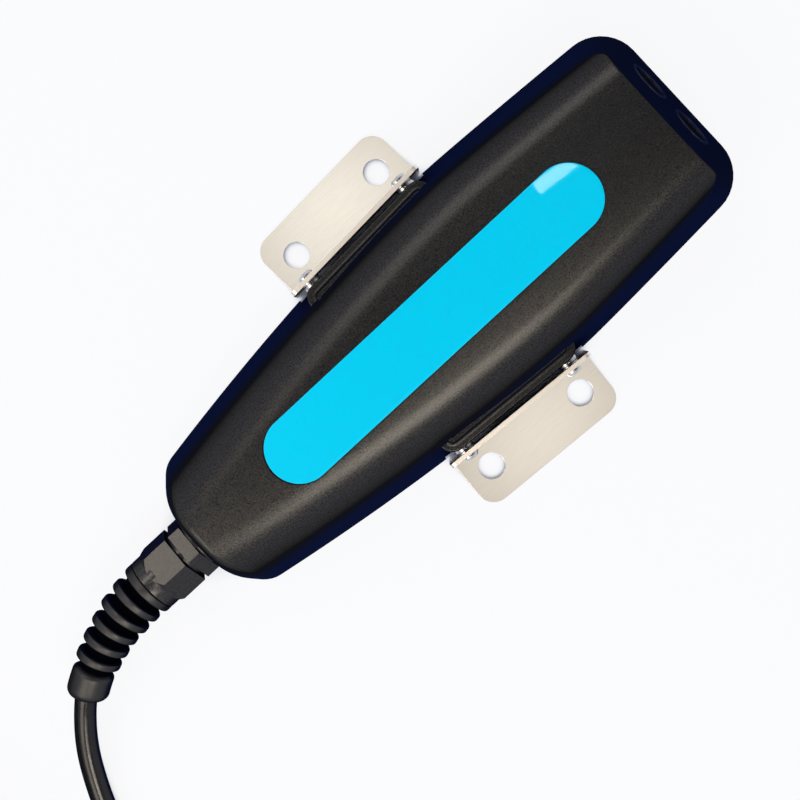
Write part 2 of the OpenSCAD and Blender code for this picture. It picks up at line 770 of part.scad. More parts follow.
module cable_terminal() color("#2f7d4f") difference() {
    block(terminal_at, [terminal_l, terminal_w, terminal_h]);
    for (k = [0 : core_count - 1]) on_board(terminal_at) translate([-terminal_l, core_y(k), terminal_h / 2])
        rotate([0, 90, 0]) cylinder(r = terminal_hole_r, h = terminal_l);
}

module sensor_header() color("#e6e0d0") block(header_at, [header_l, header_w, header_h]);

// Depth cell and temperature probe

module depth_cell() color("#c9ccd0") translate([cell_x, 0, plate_t - cell_seat])
    cylinder(r = cell_r, h = cell_h);

module depth_seal() color("#101010") translate([cell_x, 0, plate_t - cell_seat]) difference() {
    rotate_extrude() translate([seal_ring_r, 0]) circle(r = seal_cord_r);
    cylinder(r = cell_r, h = seal_cord_r);
}

module depth_ring() color("#b08d57") translate([cell_x, 0, plate_t - cell_seat + cell_h])
    ring(cell_r, cell_ring_bore_r, cell_ring_h);

module temperature_probe() color("#c7c9cc") translate([probe_x, 0, 0])
    cylinder(r = probe_r, h = probe_h);

// Cable gland, on its axis with z = 0 in the rear face

module gland_ring() color("#141414") at_gland() ring(gland_flats / 2, gland_thread_r + snug, gland_ring_t);

module gland_body() color("#3b3d40") at_gland() difference() {
    union() {
        translate([0, 0, -stub_l]) cylinder(r = gland_thread_r, h = stub_l + gland_ring_t);
        translate([0, 0, gland_ring_t]) rotate([0, 0, gland_turn])
            cylinder(r = gland_hex_r, h = gland_hex_l, $fn = 6);
        translate([0, 0, gland_ring_t + gland_hex_l]) cylinder(r = gland_neck_r, h = gland_neck_l);
        translate([0, 0, nut_start]) cylinder(r = gland_thread_r, h = gland_thread_l);
    }
    translate([0, 0, -stub_l - over]) cylinder(r = gland_bore_r, h = stub_l + thread_end + 2 * over);
    translate([0, 0, thread_end - seal_l - running]) cylinder(r = seal_r + snug, h = seal_l + over);
}

module gland_locknut() color("#3b3d40") at_gland()
    translate([0, 0, -gland_seat_l - locknut_l]) difference() {
        rotate([0, 0, locknut_turn]) cylinder(r = gland_hex_r, h = locknut_l, $fn = 6);
        translate([0, 0, -over]) cylinder(r = gland_thread_r + snug, h = locknut_l + 2 * over);
    }

module seal_bush() color("#202225") at_gland()
    translate([0, 0, thread_end - seal_l]) ring(seal_r, cable_r + snug, seal_l);

module clamp_cage() color("#4a4d52") at_gland() translate([0, 0, thread_end]) difference() {
    ring(cage_r, cable_r + snug, cage_l);
    for (k = [0 : cage_slots - 1]) rotate([0, 0, 360 * k / cage_slots])
        translate([0, -cage_slot_w / 2, cage_l / 2]) cube([cage_r + over, cage_slot_w, cage_l]);
}

module clamping_nut() color("#3b3d40") at_gland() difference() {
    union() {
        translate([0, 0, nut_start]) rotate([0, 0, gland_turn]) intersection() {
            cylinder(r = gland_hex_r, h = nut_l, $fn = 6);
            cylinder(r1 = gland_hex_r + nut_fade_share * nut_fade_from,
                r2 = gland_hex_r + nut_fade_share * (nut_fade_from - nut_l), h = nut_l);
        }
        translate([0, 0, nut_start + nut_hex_l]) cylinder(r = nut_round_r, h = nut_round_l);
    }
    translate([0, 0, nut_start - over])
        cylinder(r = gland_thread_r + running, h = gland_thread_l + over + running);
    translate([0, 0, nut_start]) cylinder(r = spigot_r + running, h = nut_end);
}

// Bend guard, on a curved axis that turns to the right and dips

function guard_out() = [0, -cos(guard_dip), -sin(guard_dip)];
function guard_place(s) = let (a = max(0, s) / guard_bend_r * 180 / PI)
    [-gland_face - guard_start - min(0, s), 0, gland_z]
    + guard_bend_r * (sin(a) * [-1, 0, 0] + (1 - cos(a)) * guard_out());
function guard_way(s) = let (a = max(0, s) / guard_bend_r * 180 / PI)
    cos(a) * [-1, 0, 0] + sin(a) * guard_out();

// Distance along the guard and radius there, from the spigot to the sleeve's rounded end
function rib_profile(k) = let (s = collar_w / 2 + k * rib_pitch, r = guard_radii[k], g = groove_depth)
    [[s - rib_w / 2 - rib_slope, r - g], [s - rib_w / 2, r],
        [s + rib_w / 2, r], [s + rib_w / 2 + rib_slope, r - g]];
function guard_profile() = concat(
    [[-spigot_l, spigot_r], [0, spigot_r], [0, guard_radii[0]], [collar_w, guard_radii[0]],
        [collar_w + rib_slope, guard_radii[0] - groove_depth]],
    [for (k = [1 : guard_ribs]) each rib_profile(k)],
    [[guard_l - sleeve_l + rib_w / 2, guard_radii[guard_ribs] - groove_depth],
        [guard_l - sleeve_l + rib_w, sleeve_r]],
    [for (a = [0 : sleeve_turn : 90])
        [guard_l - sleeve_round * (1 - sin(a)), sleeve_r - sleeve_round * (1 - cos(a))]]
);
function guard_bore() = [for (i = [0 : guard_bore_steps])
    [mix(guard_l, -spigot_l, i / guard_bore_steps), cable_r + guard_gap]];

module bend_guard() color("#2c2e31") skin(
    [for (q = concat(guard_profile(), guard_bore()))
        ring_round(guard_place(q[0]), guard_way(q[0]), q[1], guard_sides)],
    loop = true);

// Cable inside the housing, the gland and the guard, then its cores to the terminal

function entry_route() = concat(
    [[entry_in - rear_reach, 0, gland_z], [-gland_face - nut_end, 0, gland_z]],
    [for (i = [0 : entry_steps - 1]) guard_place(guard_l * i / entry_steps)],
    [cable_start - entry_lead * guard_way(guard_l), cable_start]
);
module cable_entry() color("#16181b") tube(entry_route(), cable_r, cable_sides);

module cable_cores() color("#a33a2a") for (k = [0 : core_count - 1]) {
    in_x = entry_in - rear_reach;
    out_x = board_mid_x + terminal_at[0] - terminal_l / 2 + core_dip;
    start = [in_x, core_y(k) / 3, gland_z];
    stop = [out_x, core_y(k), board_top + terminal_h / 2];
    bends = [for (s = core_bend_shares) mix(start, stop, s)];
    tube(concat([start, start + [core_lead, 0, 0]], bends, [stop]), core_r, coil_sides);
}

// Free cable, its coil and its tail

function coil_place(t) =
    let (
        per = layer_turns + climb_turns,
        k = min(coil_layers - 1, floor(t / per + tiny)),
        u = t - k * per,
        run = min(u, layer_turns) * coil_step,
        climb = max(0, u - layer_turns) / climb_turns,
        aside = climb_bulge * sin(180 * climb),
        r = k % 2 == 0 ? coil_out_r - run - aside : coil_in_r + run + aside,
        z = coil_z + coil_step * (k + smooth(climb)),
        a = -90 - 360 * t
    )
    [coil_at[0] + r * cos(a), coil_at[1] + r * sin(a), z];
function coil_route() = concat(
    [coil_first],
    [for (i = [0 : coil_turns * loop_rings]) coil_place(i / loop_rings)],
    [coil_last]
);
function least_gap(route, apart) = min([
    for (i = [0 : len(route) - 1 - apart], j = [i + apart : len(route) - 1]) norm(route[i] - route[j])
]) - cable_d;
function route_length(route, i = 1, sum = 0) =
    i >= len(route) ? sum : route_length(route, i + 1, sum + norm(route[i] - route[i - 1]));

function free_route() =
    concat([cable_start, cable_start + entry_lead * guard_way(guard_l)], cable_route, [coil_first]);
function tail_places() = concat([coil_last], tail_route, [plug_entry, plug_entry + [bush_l, 0, 0]]);

module cable() color("#16181b") tube(free_route(), cable_r, cable_sides);
module cable_coil() color("#16181b") {
    route = coil_route();
    echo(least_gap_of_coil = least_gap(route, loop_rings / 2),
        cable_length = route_length(free_route()) + route_length(route) + route_length(tail_places()));
    tube(route, cable_r, coil_sides, coil_ring_turn);
}
module cable_tail() color("#16181b") tube(tail_places(), cable_r, cable_sides);

// Ties round the whole bundle, standing across it
module rounded_box(lo, hi, r) {
    translate([lo[0] + r, lo[1]]) square([hi[0] - lo[0] - 2 * r, hi[1] - lo[1]]);
    translate([lo[0], lo[1] + r]) square([hi[0] - lo[0], hi[1] - lo[1] - 2 * r]);
    for (x = [lo[0] + r, hi[0] - r], y = [lo[1] + r, hi[1] - r]) translate([x, y]) circle(r = r);
}
module coil_ties() color("#0e0e0e") for (t = tie_places) {
    inner = [coil_in_r - cable_r - tie_gap, tie_t];
    outer = [coil_out_r + cable_r + tie_gap, coil_top_z + cable_r + tie_gap];
    room = [tie_t, tie_t];
    translate([coil_at[0], coil_at[1], 0]) rotate([0, 0, -90 - 360 * t]) translate([0, tie_w / 2, 0])
        rotate([90, 0, 0]) linear_extrude(tie_w) difference() {
            rounded_box(inner - room, outer + room, tie_corner_r + tie_t);
            rounded_box(inner, outer, tie_corner_r);
        }
}

// Cable plug, on its axis with z = 0 where the cable enters

module plug_back_nut() color("#9a9da1") at_plug() difference() {
    union() {
        cylinder(r1 = back_nut_r - over, r2 = back_nut_r, h = over);
        translate([0, 0, over]) cylinder(r = back_nut_r, h = back_nut_l - over);
    }
    for (k = [1 : ring_flutes]) rotate([0, 0, 360 * k / ring_flutes])
        translate([back_nut_r + flute_r / 2, 0, 2 * over]) cylinder(r = flute_r, h = back_nut_l);
    translate([0, 0, -over]) cylinder(r = cable_r + guard_gap, h = 2 * over);
    translate([0, 0, over]) cylinder(r = bush_r + snug, h = back_nut_l);
}

module plug_bush() color("#202225") at_plug()
    translate([0, 0, over]) ring(bush_r, cable_r + snug, bush_l - over);

module plug_body() color("#b4b7bb") at_plug() translate([0, 0, back_nut_l]) difference() {
    union() {
        cylinder(r = plug_body_r, h = plug_body_l);
        translate([0, 0, plug_body_l - plug_nose_l - plug_collar_l])
            cylinder(r = plug_body_r + insert_wall, h = plug_collar_l);
    }
    translate([0, 0, plug_body_l - insert_len + over])
        cylinder(r = insert_r + snug, h = insert_len + over);
}

module plug_insert() color("#1a1b1e") at_plug()
    translate([0, 0, back_nut_l + plug_body_l - insert_len + over]) difference() {
        cylinder(r = insert_r, h = insert_len);
        for (k = [1 : contact_count]) rotate([0, 0, 360 * k / contact_count])
            translate([contact_ring_r, 0, insert_len - contact_l])
                cylinder(r = contact_r + snug, h = insert_len);
    }

module plug_contacts() color("#c9a24b") at_plug()
    translate([0, 0, back_nut_l + plug_body_l - contact_l + over]) for (k = [1 : contact_count])
        rotate([0, 0, 360 * k / contact_count]) translate([contact_ring_r, 0, 0])
            ring(contact_r, contact_r / 2, contact_l - over);

// The ring turns on the body's nose, held between its collar and the insert's mouth
module coupling_ring() color("#c2c5c9") at_plug()
    translate([0, 0, back_nut_l + plug_body_l - plug_nose_l + running]) difference() {
        cylinder(r = ring_r, h = ring_l);
        translate([0, 0, -over]) cylinder(r = plug_body_r + running, h = ring_l + 2 * over);
        translate([0, 0, plug_nose_l / 2]) cylinder(r = ring_bore_r, h = ring_l);
        for (k = [1 : ring_flutes]) rotate([0, 0, 360 * k / ring_flutes])
            translate([ring_r + flute_r / 2, 0, 2 * over]) cylinder(r = flute_r, h = ring_l - 4 * over);
    }

upper_housing();
base_plate();
base_gasket();
base_screws();
base_inserts();
name_label();
left_bracket();
right_bracket();
bracket_screws();
bracket_spacers();
bracket_inserts();
left_cup();
right_cup();
left_window();
right_window();
left_crystal();
right_crystal();
left_backing();
right_backing();
left_lead();
right_lead();
circuit_board();
board_screws();
processor();
amplifiers();
transformer();
capacitors();
cable_terminal();
sensor_header();
depth_cell();
depth_seal();
depth_ring();
temperature_probe();
gland_ring();
gland_body();
gland_locknut();
seal_bush();
clamp_cage();
clamping_nut();
bend_guard();
cable_entry();
cable_cores();
cable();
cable_coil();
coil_ties();
cable_tail();
plug_body();
coupling_ring();
plug_insert();
plug_contacts();
plug_bush();
plug_back_nut();
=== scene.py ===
from math import asin, atan, ceil, cos, hypot, pi, radians, sin, tan

import bmesh
import bpy
from bpy.props import FloatProperty, FloatVectorProperty, IntProperty, PointerProperty
from mathutils import Matrix, Vector


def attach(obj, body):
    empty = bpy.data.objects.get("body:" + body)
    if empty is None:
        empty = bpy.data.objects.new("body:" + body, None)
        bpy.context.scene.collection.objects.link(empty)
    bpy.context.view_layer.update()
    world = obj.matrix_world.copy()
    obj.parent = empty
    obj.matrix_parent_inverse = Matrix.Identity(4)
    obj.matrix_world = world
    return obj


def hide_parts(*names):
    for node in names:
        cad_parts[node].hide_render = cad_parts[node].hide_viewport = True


bl_info = {
    "name": "Open-channel ultrasonic sensor",
    "version": (1, 0, 0),
    "blender": (4, 5, 0),
    "location": "3D View > Sidebar > Sensor",
    "description": "Dresses the sensor's solids: housing, brackets, gland, bend guard, cable and plug",
    "category": "Object",
}

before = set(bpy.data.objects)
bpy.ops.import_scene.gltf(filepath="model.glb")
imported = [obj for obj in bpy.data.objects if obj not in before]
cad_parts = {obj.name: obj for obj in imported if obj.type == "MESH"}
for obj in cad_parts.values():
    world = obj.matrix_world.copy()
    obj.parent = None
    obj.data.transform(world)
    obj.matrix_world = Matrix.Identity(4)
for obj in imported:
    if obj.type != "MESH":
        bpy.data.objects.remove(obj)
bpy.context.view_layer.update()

MM = 0.001

# The picture in pixels, with the place of the object's origin in it, and the camera's film in millimetres
IMAGE_SIDE = 800
ORIGIN_PX = (437.8, 320.0)
FILM_W = 36.0

# Forms that the solids are made from, in millimetres, the same values as the part's
NOSE_REACH, REAR_REACH, WIDEST_X = 104.8, 100.5, 30.0
BODY_W, NOSE_W, REAR_W = 75.8, 68.5, 48.5
REAR_H, NOSE_H, NOSE_LEAN = 27.5, 46.0, 20.0
NOSE_POWER, REAR_POWER, CROWN_R = 1.24, 1.76, 160.0
NOSE_DRAFT, REAR_DRAFT = 10.0, 14.0
NOSE_SHOULDER, REAR_SHOULDER = 14.0, 20.0
NOSE_CORNER, REAR_CORNER = 13.5, 8.0
NOSE_EDGE, REAR_EDGE, LEAST_EDGE = 0.8, 3.0, 0.4
NOSE_ROUND_SHARE, REAR_ROUND_SHARE = 0.45, 0.15
WALL, LIP, RECESS_H = 3.8, 3.0, 3.8
LABEL_L, LABEL_W, LABEL_T = 131.0, 21.4, 0.5
LABEL_SHARE, RECESS_GAP, RECESS_DEPTH = 0.478, 0.4, 0.7
BRACKET_L, SEAT_INSET, SEAT_MARGIN, LEG_H = 55.0, 1.7, 0.8, 25.0
PAD_H, PAD_MARGIN, PAD_ROLL, PAD_FILLET, PAD_TOP_W, PAD_CORNER = 23.5, 1.5, 0.6, 1.5, 3.2, 4.6
CUP_R, CUP_PITCH, CUP_Z, CUP_L = 7.3, 19.0, 20.0, 14.0
GLAND_Z, GLAND_FACE, GLAND_SEAT_L, GLAND_SEAT_R, THREAD_R = 14.5, 100.8, 7.0, 10.6, 7.5
NUT_END = 20.1
CABLE_D = 7.2
CABLE_R = CABLE_D / 2
SNUG = 0.02

# Bend guard along its own curved axis
GUARD_START, GUARD_BEND_R, GUARD_DIP, SPIGOT_L, SPIGOT_R = NUT_END + 0.3, 70.0, 18.0, 1.9, 6.2
GUARD_RADII = (9.15, 8.8, 8.5, 7.9, 7.55, 7.25)
GUARD_RIBS, COLLAR_W, RIB_PITCH, RIB_W, RIB_ROLL, GROOVE, FLANK = 5, 2.6, 5.5, 2.4, 0.55, 2.1, 0.3
SLEEVE_L, SLEEVE_R, SLEEVE_ROUND = 11.0, 6.7, 2.7
# Places along the collar and past the last rib, each with its depth under the full radius
COLLAR_PROFILE = ((0, 0.4), (0.12, 0.12), (0.4, 0),
                  (COLLAR_W - 0.5, 0), (COLLAR_W - 0.15, 0.15), (COLLAR_W, 0.5))
SLEEVE_LIP = ((-0.4, 0.5), (0, 0.1), (0.5, 0))
BORE_STEPS = 16
# Depth under the crests at which the painted shade of the grooves starts, and over which it grows
GROOVE_SHADE_FROM, GROOVE_SHADE_OVER = 0.5, 0.7
GUARD_L = COLLAR_W / 2 + GUARD_RIBS * RIB_PITCH + RIB_W + SLEEVE_L
GUARD_BORE = CABLE_R + 0.35
CABLE_LEAD = 1.5

# Free cable: places on its way to the coil, and from the coil down to the plug
CABLE_ROUTE = (
    (-165.2, -15.3, 9.5), (-169.9, -20.3, 8.2), (-174.1, -25.8, 6.9), (-177.7, -31.8, 5.8),
    (-180.9, -38.1, 4.9), (-183.7, -44.5, 4.2), (-186.8, -50.8, 3.8), (-191.2, -57.0, 3.6),
    (-197.6, -62.7, 3.6), (-206.0, -67.2, 3.6), (-216.5, -69.8, 3.6), (-228.5, -70.8, 3.7),
    (-241.0, -71.0, 4.0), (-253.0, -71.0, 4.4), (-265.0, -71.0, 4.6),
)
TAIL_ROUTE = (
    (-272.0, 55.0, 28.0), (-266.0, 55.0, 26.9), (-259.5, 54.9, 24.4), (-252.0, 54.6, 20.8),
    (-244.0, 54.1, 16.5), (-236.0, 53.5, 12.4), (-228.5, 53.1, 9.8),
)
COIL_X, COIL_Y, COIL_OUT_R, COIL_STEP = -284.0, -8.0, 63.0, 7.8
COIL_LAYERS, LAYER_TURNS, CLIMB_TURNS, CLIMB_BULGE, COIL_RINGS = 4, 3.5, 0.5, 1.4, 40
COIL_IN_R = COIL_OUT_R - LAYER_TURNS * COIL_STEP
COIL_Z = 1.0 + CABLE_R
COIL_TOP_Z = COIL_Z + (COIL_LAYERS - 1) * COIL_STEP
PLUG_X, PLUG_Y, PLUG_Z, BUSH_L = -222.0, 53.0, 9.0, 8.0

# How far a cutting tool runs past the base, past the bracket's seat or the label, and past a bore's mouth
FOOT_OVER, SEAT_OVER, BORE_OVER = 1.0, 2.0, 3.0
SEAT_CUT_W, THREAD_CUT_L, PAD_INTO_WALL, PAD_TUCK = 12.0, 12.0, 7.0, 0.1
INNER_STEPS, INNER_CORNER_STEPS, PLATE_CORNER_STEPS = 14, 4, 5
# What counts as on the recess's wall, above its floor, and as its sharp rim in degrees
WALL_NEAR, FLOOR_NEAR, TOP_NEAR, RIM_ANGLE = 0.02, 0.05, 0.01, 40.0
# Broken edges of the pieces that keep their solids' own form, and what joins their triangles into faces
TURNED_EDGE, SCREW_EDGE, BASE_SCREW_EDGE, TIE_EDGE, PLATE_EDGE = 0.15, 0.12, 0.08, 0.3, 0.2
WELD_M, FLAT_ANGLE = 2e-6, 0.5

# Each lamp's name, place and aim in metres in the object's frame, size, watts, tint, spin and spread.
# Three soft lamps light the crown's shoulders and the rear. A narrow card over each bracket and a small
# one over the label stand in for what those glossy faces mirror, and a snoot picks out the gland.
LAMPS = (
    ("lamp_right", (-0.25, -0.45, 0.82), (-0.02, -0.01, 0.02), (0.34, 0.36), 3.7, "#fff3e0", 0, 180),
    ("window_left", (0.02, 0.59, 0.8), (0.0, 0.01, 0.02), (0.7, 0.42), 2.2, "#fff8ee", 0, 180),
    ("lamp_rear", (-0.6, -0.06, 0.6), (-0.05, 0.0, 0.02), (0.4, 0.4), 2.0, "#fff2de", 0, 180),
    ("card_left", (0.0, 0.107, 0.6), (0.0, 0.0475, 0.0), (0.17, 0.08), 0.00078, "#fffbf4", 0, 24),
    ("card_right", (0.0, -0.107, 0.6), (0.0, -0.0475, 0.0), (0.17, 0.08), 0.00069, "#fff9f0", 0, 24),
    ("card_label", (0.0106, 0.0175, 0.6), (0.0106, 0.0175, 0.0), (0.03, 0.009), 0.02, "#ffffff", -6, 180),
    ("snoot_gland", (-0.268, 0.302, 0.54), (-0.128, -0.004, 0.015), (0.09, 0.09), 0.003, "#fff0da", 0, 16),
)

# The room: brightness from low down to straight above, and what its rear adds
ROOM_Z, ROOM_LEVEL, ROOM_TINT = (0.35, 0.95), (0.9, 0.03), "#ece8f2"
REAR_X, REAR_LEVEL = (-0.15, -0.75), 0.3
# The floor: its half side and its place under the object in metres, its paper, and its even glow
FLOOR_HALF, FLOOR_Z = 1.6, -0.0004
PAPER_TINTS, PAPER_SCALE, PAPER_LEVEL = ("#b4c0dc", "#ccd8f4"), 300.0, (0.93, 1.0)
FLOOR_GLOW_SHARE, SHADE_REACH, SHADE_FROM = 0.9, 0.03, (0.2, 0.5)

# What the finishes read from noise, from the height of the normal, which places the painted navy reflection,
# and from the angle to the eye
CLOUD_FROM, GRAIN_FROM, SPARK_FROM = (0.12, 0.42), (0.3, 0.7), (0.4, 0.68)
SIDE_REFLECTION_FROM, RIM_FROM = (0.65, 0.2), (0.06, 0.5)
LEAST_ROUGH, SHEARED_BAND, SHEARED_DULL = 0.02, 0.3, 0.4
# Painted shade: the near-black tint at the bottoms of the bend guard's grooves
GROOVE_SHADE_TINT = "#030408"


def linear(text):
    """sRGB hex colour as linear red, green, blue and alpha."""
    parts = [int(text[i:i + 2], 16) / 255 for i in (1, 3, 5)]
    return tuple(c / 12.92 if c <= 0.04045 else ((c + 0.055) / 1.055) ** 2.4 for c in parts) + (1.0,)


def colour(name, description, text):
    return FloatVectorProperty(name=name, description=description, subtype="COLOR", size=4,
                               min=0, max=1, default=linear(text))


def length(name, description, millimetres):
    return FloatProperty(name=name, description=description, unit="LENGTH", default=millimetres * MM)


class SensorShape(bpy.types.PropertyGroup):
    edge: length("Edge break", "Bevel along the edges of moulded and turned pieces", 0.25)
    sheet_edge: length("Sheet edge", "Bevel along the edges of the stainless brackets", 0.18)
    label_edge: length("Label edge", "Roll of the label's outer edge", 0.2)
    recess_edge: length("Recess edge", "Rounding of the rim round the label", 0.3)
    guard_sides: IntProperty(name="Guard segments", description="Faces round the bend guard",
                             default=72, min=24, max=144)
    housing_steps: IntProperty(name="Housing sections", description="Sections along the housing",
                               default=34, min=12, max=60)


class SensorColours(bpy.types.PropertyGroup):
    housing: colour("Housing", "Spark-eroded black ABS", "#0e0f11")
    label: colour("Label", "Cyan vinyl film", "#00c8f2")
    steel: colour("Brackets", "Cold-rolled stainless sheet", "#ece8e0")
    gland: colour("Gland", "Moulded polyamide", "#232427")
    guard: colour("Bend guard", "Moulded elastomer", "#1b1c1f")
    cable: colour("Cable", "Extruded PVC sheath", "#101214")
    plug: colour("Plug", "Satin nickel plate", "#b9bbbd")


class SensorStage(bpy.types.PropertyGroup):
    camera_height: FloatProperty(name="Camera height", description="Lens over the channel bed",
                                 unit="LENGTH", default=0.5)
    heading: FloatProperty(name="Heading", description="Turn of the sensor in the picture",
                           subtype="ANGLE", default=radians(42.8))
    focal_px: FloatProperty(name="Focal length", description="In pixels of the picture", default=1560)
    backdrop: colour("Backdrop", "Pale floor under the sensor", "#ffffff")


# Housing form

def mix(a, b, share):
    return a + (b - a) * share


def smooth(share):
    c = max(0.0, min(1.0, share))
    return c * c * (3 - 2 * c)


NOSE_TILT = tan(radians(NOSE_LEAN))
TOP_RISE = (NOSE_H - REAR_H) / (NOSE_REACH - NOSE_H * NOSE_TILT + REAR_REACH)
LABEL_X = -REAR_REACH + LABEL_SHARE * (NOSE_REACH + REAR_REACH)


def half_w(x):
    if x > WIDEST_X:
        share = (x - WIDEST_X) / (NOSE_REACH - WIDEST_X)
        return BODY_W / 2 - (BODY_W - NOSE_W) / 2 * share ** NOSE_POWER
    share = (WIDEST_X - x) / (WIDEST_X + REAR_REACH)
    return BODY_W / 2 - (BODY_W - REAR_W) / 2 * share ** REAR_POWER


def lean_at(x):
    return NOSE_TILT * max(0.0, (x - WIDEST_X) / (NOSE_REACH - WIDEST_X))


def crown_z(x):
    return REAR_H + TOP_RISE * (x + REAR_REACH)


def half_section(x, inset, foot_z, crown=8, shoulder=16, side=5):
    """Half of the section whose foot stands at x: [y, z, tilt of the normal, rounding share, lift]."""
    along = (x + REAR_REACH) / (NOSE_REACH + REAR_REACH)
    d = radians(mix(REAR_DRAFT, NOSE_DRAFT, along))
    h = crown_z(x) / (1 + TOP_RISE * lean_at(x)) - inset
    w = half_w(x) - inset / cos(d)
    r = mix(REAR_SHOULDER, NOSE_SHOULDER, along) - inset
    big = CROWN_R - inset
    reach = big - r
    a0 = asin((w * cos(d) - r - (h - big) * sin(d)) / reach) - d
    mid_y, mid_z = reach * sin(a0), h - big + reach * cos(a0)
    turn_z = mid_z + r * sin(d)
    points = [(big * sin(a0 * i / crown), h - big + big * cos(a0 * i / crown), a0 * i / crown, 0, 1)
              for i in range(crown)]
    for i in range(shoulder + 1):
        a = mix(a0, pi / 2 - d, i / shoulder)
        points.append((mid_y + r * sin(a), mid_z + r * cos(a), a, i / shoulder, 1))
    for i in range(1, side + 1):
        z = mix(turn_z, foot_z, i / side)
        points.append((w - z * tan(d), z, pi / 2 - d, 1, 1 - i / side))
    return points


def station(x, inset, foot_z):
    return [(x - lean_at(x) * p[1], p[0], p[1]) for p in half_section(x, inset, foot_z)]


def end_station(side, turn, inset, foot_z):
    """A section in the rounding of either end, from turn 0 at its start to 90 degrees in the end face."""
    end = NOSE_REACH - inset / cos(radians(NOSE_LEAN)) if side > 0 else inset - REAR_REACH
    corner, edge, start = ((NOSE_CORNER, NOSE_EDGE, NOSE_ROUND_SHARE) if side > 0
                           else (REAR_CORNER, REAR_EDGE, REAR_ROUND_SHARE))
    turn = radians(turn)
    points = []
    for j, mark in enumerate(half_section(end, inset, foot_z)):
        share = smooth((mark[3] - start) / (1 - start))
        r = max(LEAST_EDGE, mix(edge, corner, share) - inset)
        x = end - side * r * (1 - sin(turn))
        p = half_section(x, inset, foot_z)[j]
        back = r * (1 - cos(turn))
        z = p[1] - back * cos(p[2]) * p[4]
        points.append((x - lean_at(x) * z, p[0] - back * sin(p[2]), z))
    return points


def housing_rings(inset, foot_z, steps, corner_steps=9):
    halves = [end_station(-1, 90 * (1 - i / corner_steps), inset, foot_z) for i in range(corner_steps + 1)]
    for i in range(1, steps + 1):
        halves.append(station(mix(REAR_CORNER - REAR_REACH, NOSE_REACH - NOSE_CORNER, i / (steps + 1)),
                              inset, foot_z))
    halves += [end_station(1, 90 * i / corner_steps, inset, foot_z) for i in range(corner_steps + 1)]
    return [half[::-1] + [(x, -y, z) for x, y, z in half[1:]] for half in halves]


# Shared modelling steps, in millimetres until a piece is finished

def bridged(rings, closed=False):
    """A skin through rings of points: each ring is a circle laid on its points, and each pair bridged."""
    bm = bmesh.new()
    loops = []
    for ring in rings:
        made = bmesh.ops.create_circle(bm, segments=len(ring), radius=1.0)
        for vert, place in zip(made["verts"], ring):
            vert.co = place
        loops.append(list({e for v in made["verts"] for e in v.link_edges}))
    ends = [list(loops[0]), list(loops[-1])]
    for a, b in zip(loops, loops[1:]):
        bmesh.ops.bridge_loops(bm, edges=a + b)
    if closed:
        bmesh.ops.bridge_loops(bm, edges=ends[0] + ends[1])
    else:
        for edges in ends:
            bmesh.ops.contextual_create(bm, geom=edges)
    bmesh.ops.recalc_face_normals(bm, faces=bm.faces)
    return bm


def bar(outline, way):
    """A bar of the given flat outline of [x, y, z] places, extruded by the vector way."""
    bm = bmesh.new()
    face = bm.faces.new([bm.verts.new(place) for place in outline])
    made = bmesh.ops.extrude_face_region(bm, geom=[face])
    moved = [v for v in made["geom"] if isinstance(v, bmesh.types.BMVert)]
    bmesh.ops.translate(bm, verts=moved, vec=way)
    bmesh.ops.recalc_face_normals(bm, faces=bm.faces)
    return bm


def upright_bar(points, low, high):
    """A bar of the given [x, y] outline along Z."""
    return bar([(x, y, low) for x, y in points], (0, 0, high - low))


def turned_bar(radius, low, high, matrix, segments=96):
    """A round bar on a local axis, from low to high along it."""
    bm = bmesh.new()
    bmesh.ops.create_cone(bm, cap_ends=True, segments=segments, radius1=radius, radius2=radius,
                          depth=high - low, matrix=matrix @ Matrix.Translation((0, 0, (low + high) / 2)))
    return bm


def loose_object(name, bm):
    mesh = bpy.data.meshes.new(name)
    bm.to_mesh(mesh)
    bm.free()
    obj = bpy.data.objects.new(name, mesh)
    bpy.context.scene.collection.objects.link(obj)
    return obj


def cut(obj, bm, operation="DIFFERENCE"):
    """Joins or takes away a tool shape, and keeps the result as obj's own mesh."""
    tool = loose_object(obj.name + "_tool", bm)
    step = obj.modifiers.new("cut", "BOOLEAN")
    step.operation, step.object, step.solver = operation, tool, "EXACT"
    shaped = bpy.data.meshes.new_from_object(obj.evaluated_get(bpy.context.evaluated_depsgraph_get()))
    obj.modifiers.clear()
    old, obj.data = obj.data, shaped
    bpy.data.meshes.remove(old)
    old_tool = tool.data
    bpy.data.objects.remove(tool)
    bpy.data.meshes.remove(old_tool)


def crease(bm, angle):
    """Marks edges sharper than angle, in degrees, and smooths the rest."""
    for face in bm.faces:
        face.smooth = True
    for edge in bm.edges:
        edge.smooth = not (len(edge.link_faces) == 2 and edge.calc_face_angle(0) > radians(angle))


def finish_piece(obj, body, material, replaced, angle, scale=MM):
    """Last steps of every new piece: size, shading, material, body and what it stands for."""
    bm = bmesh.new()
    bm.from_mesh(obj.data)
    bmesh.ops.scale(bm, vec=(scale, scale, scale), verts=bm.verts)
    crease(bm, angle)
    bm.to_mesh(obj.data)
    bm.free()
    even = obj.modifiers.new("even_shading", "WEIGHTED_NORMAL")
    even.keep_sharp = True
    obj.data.materials.clear()
    obj.data.materials.append(material)
    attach(obj, body)
    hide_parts(replaced)
    return obj


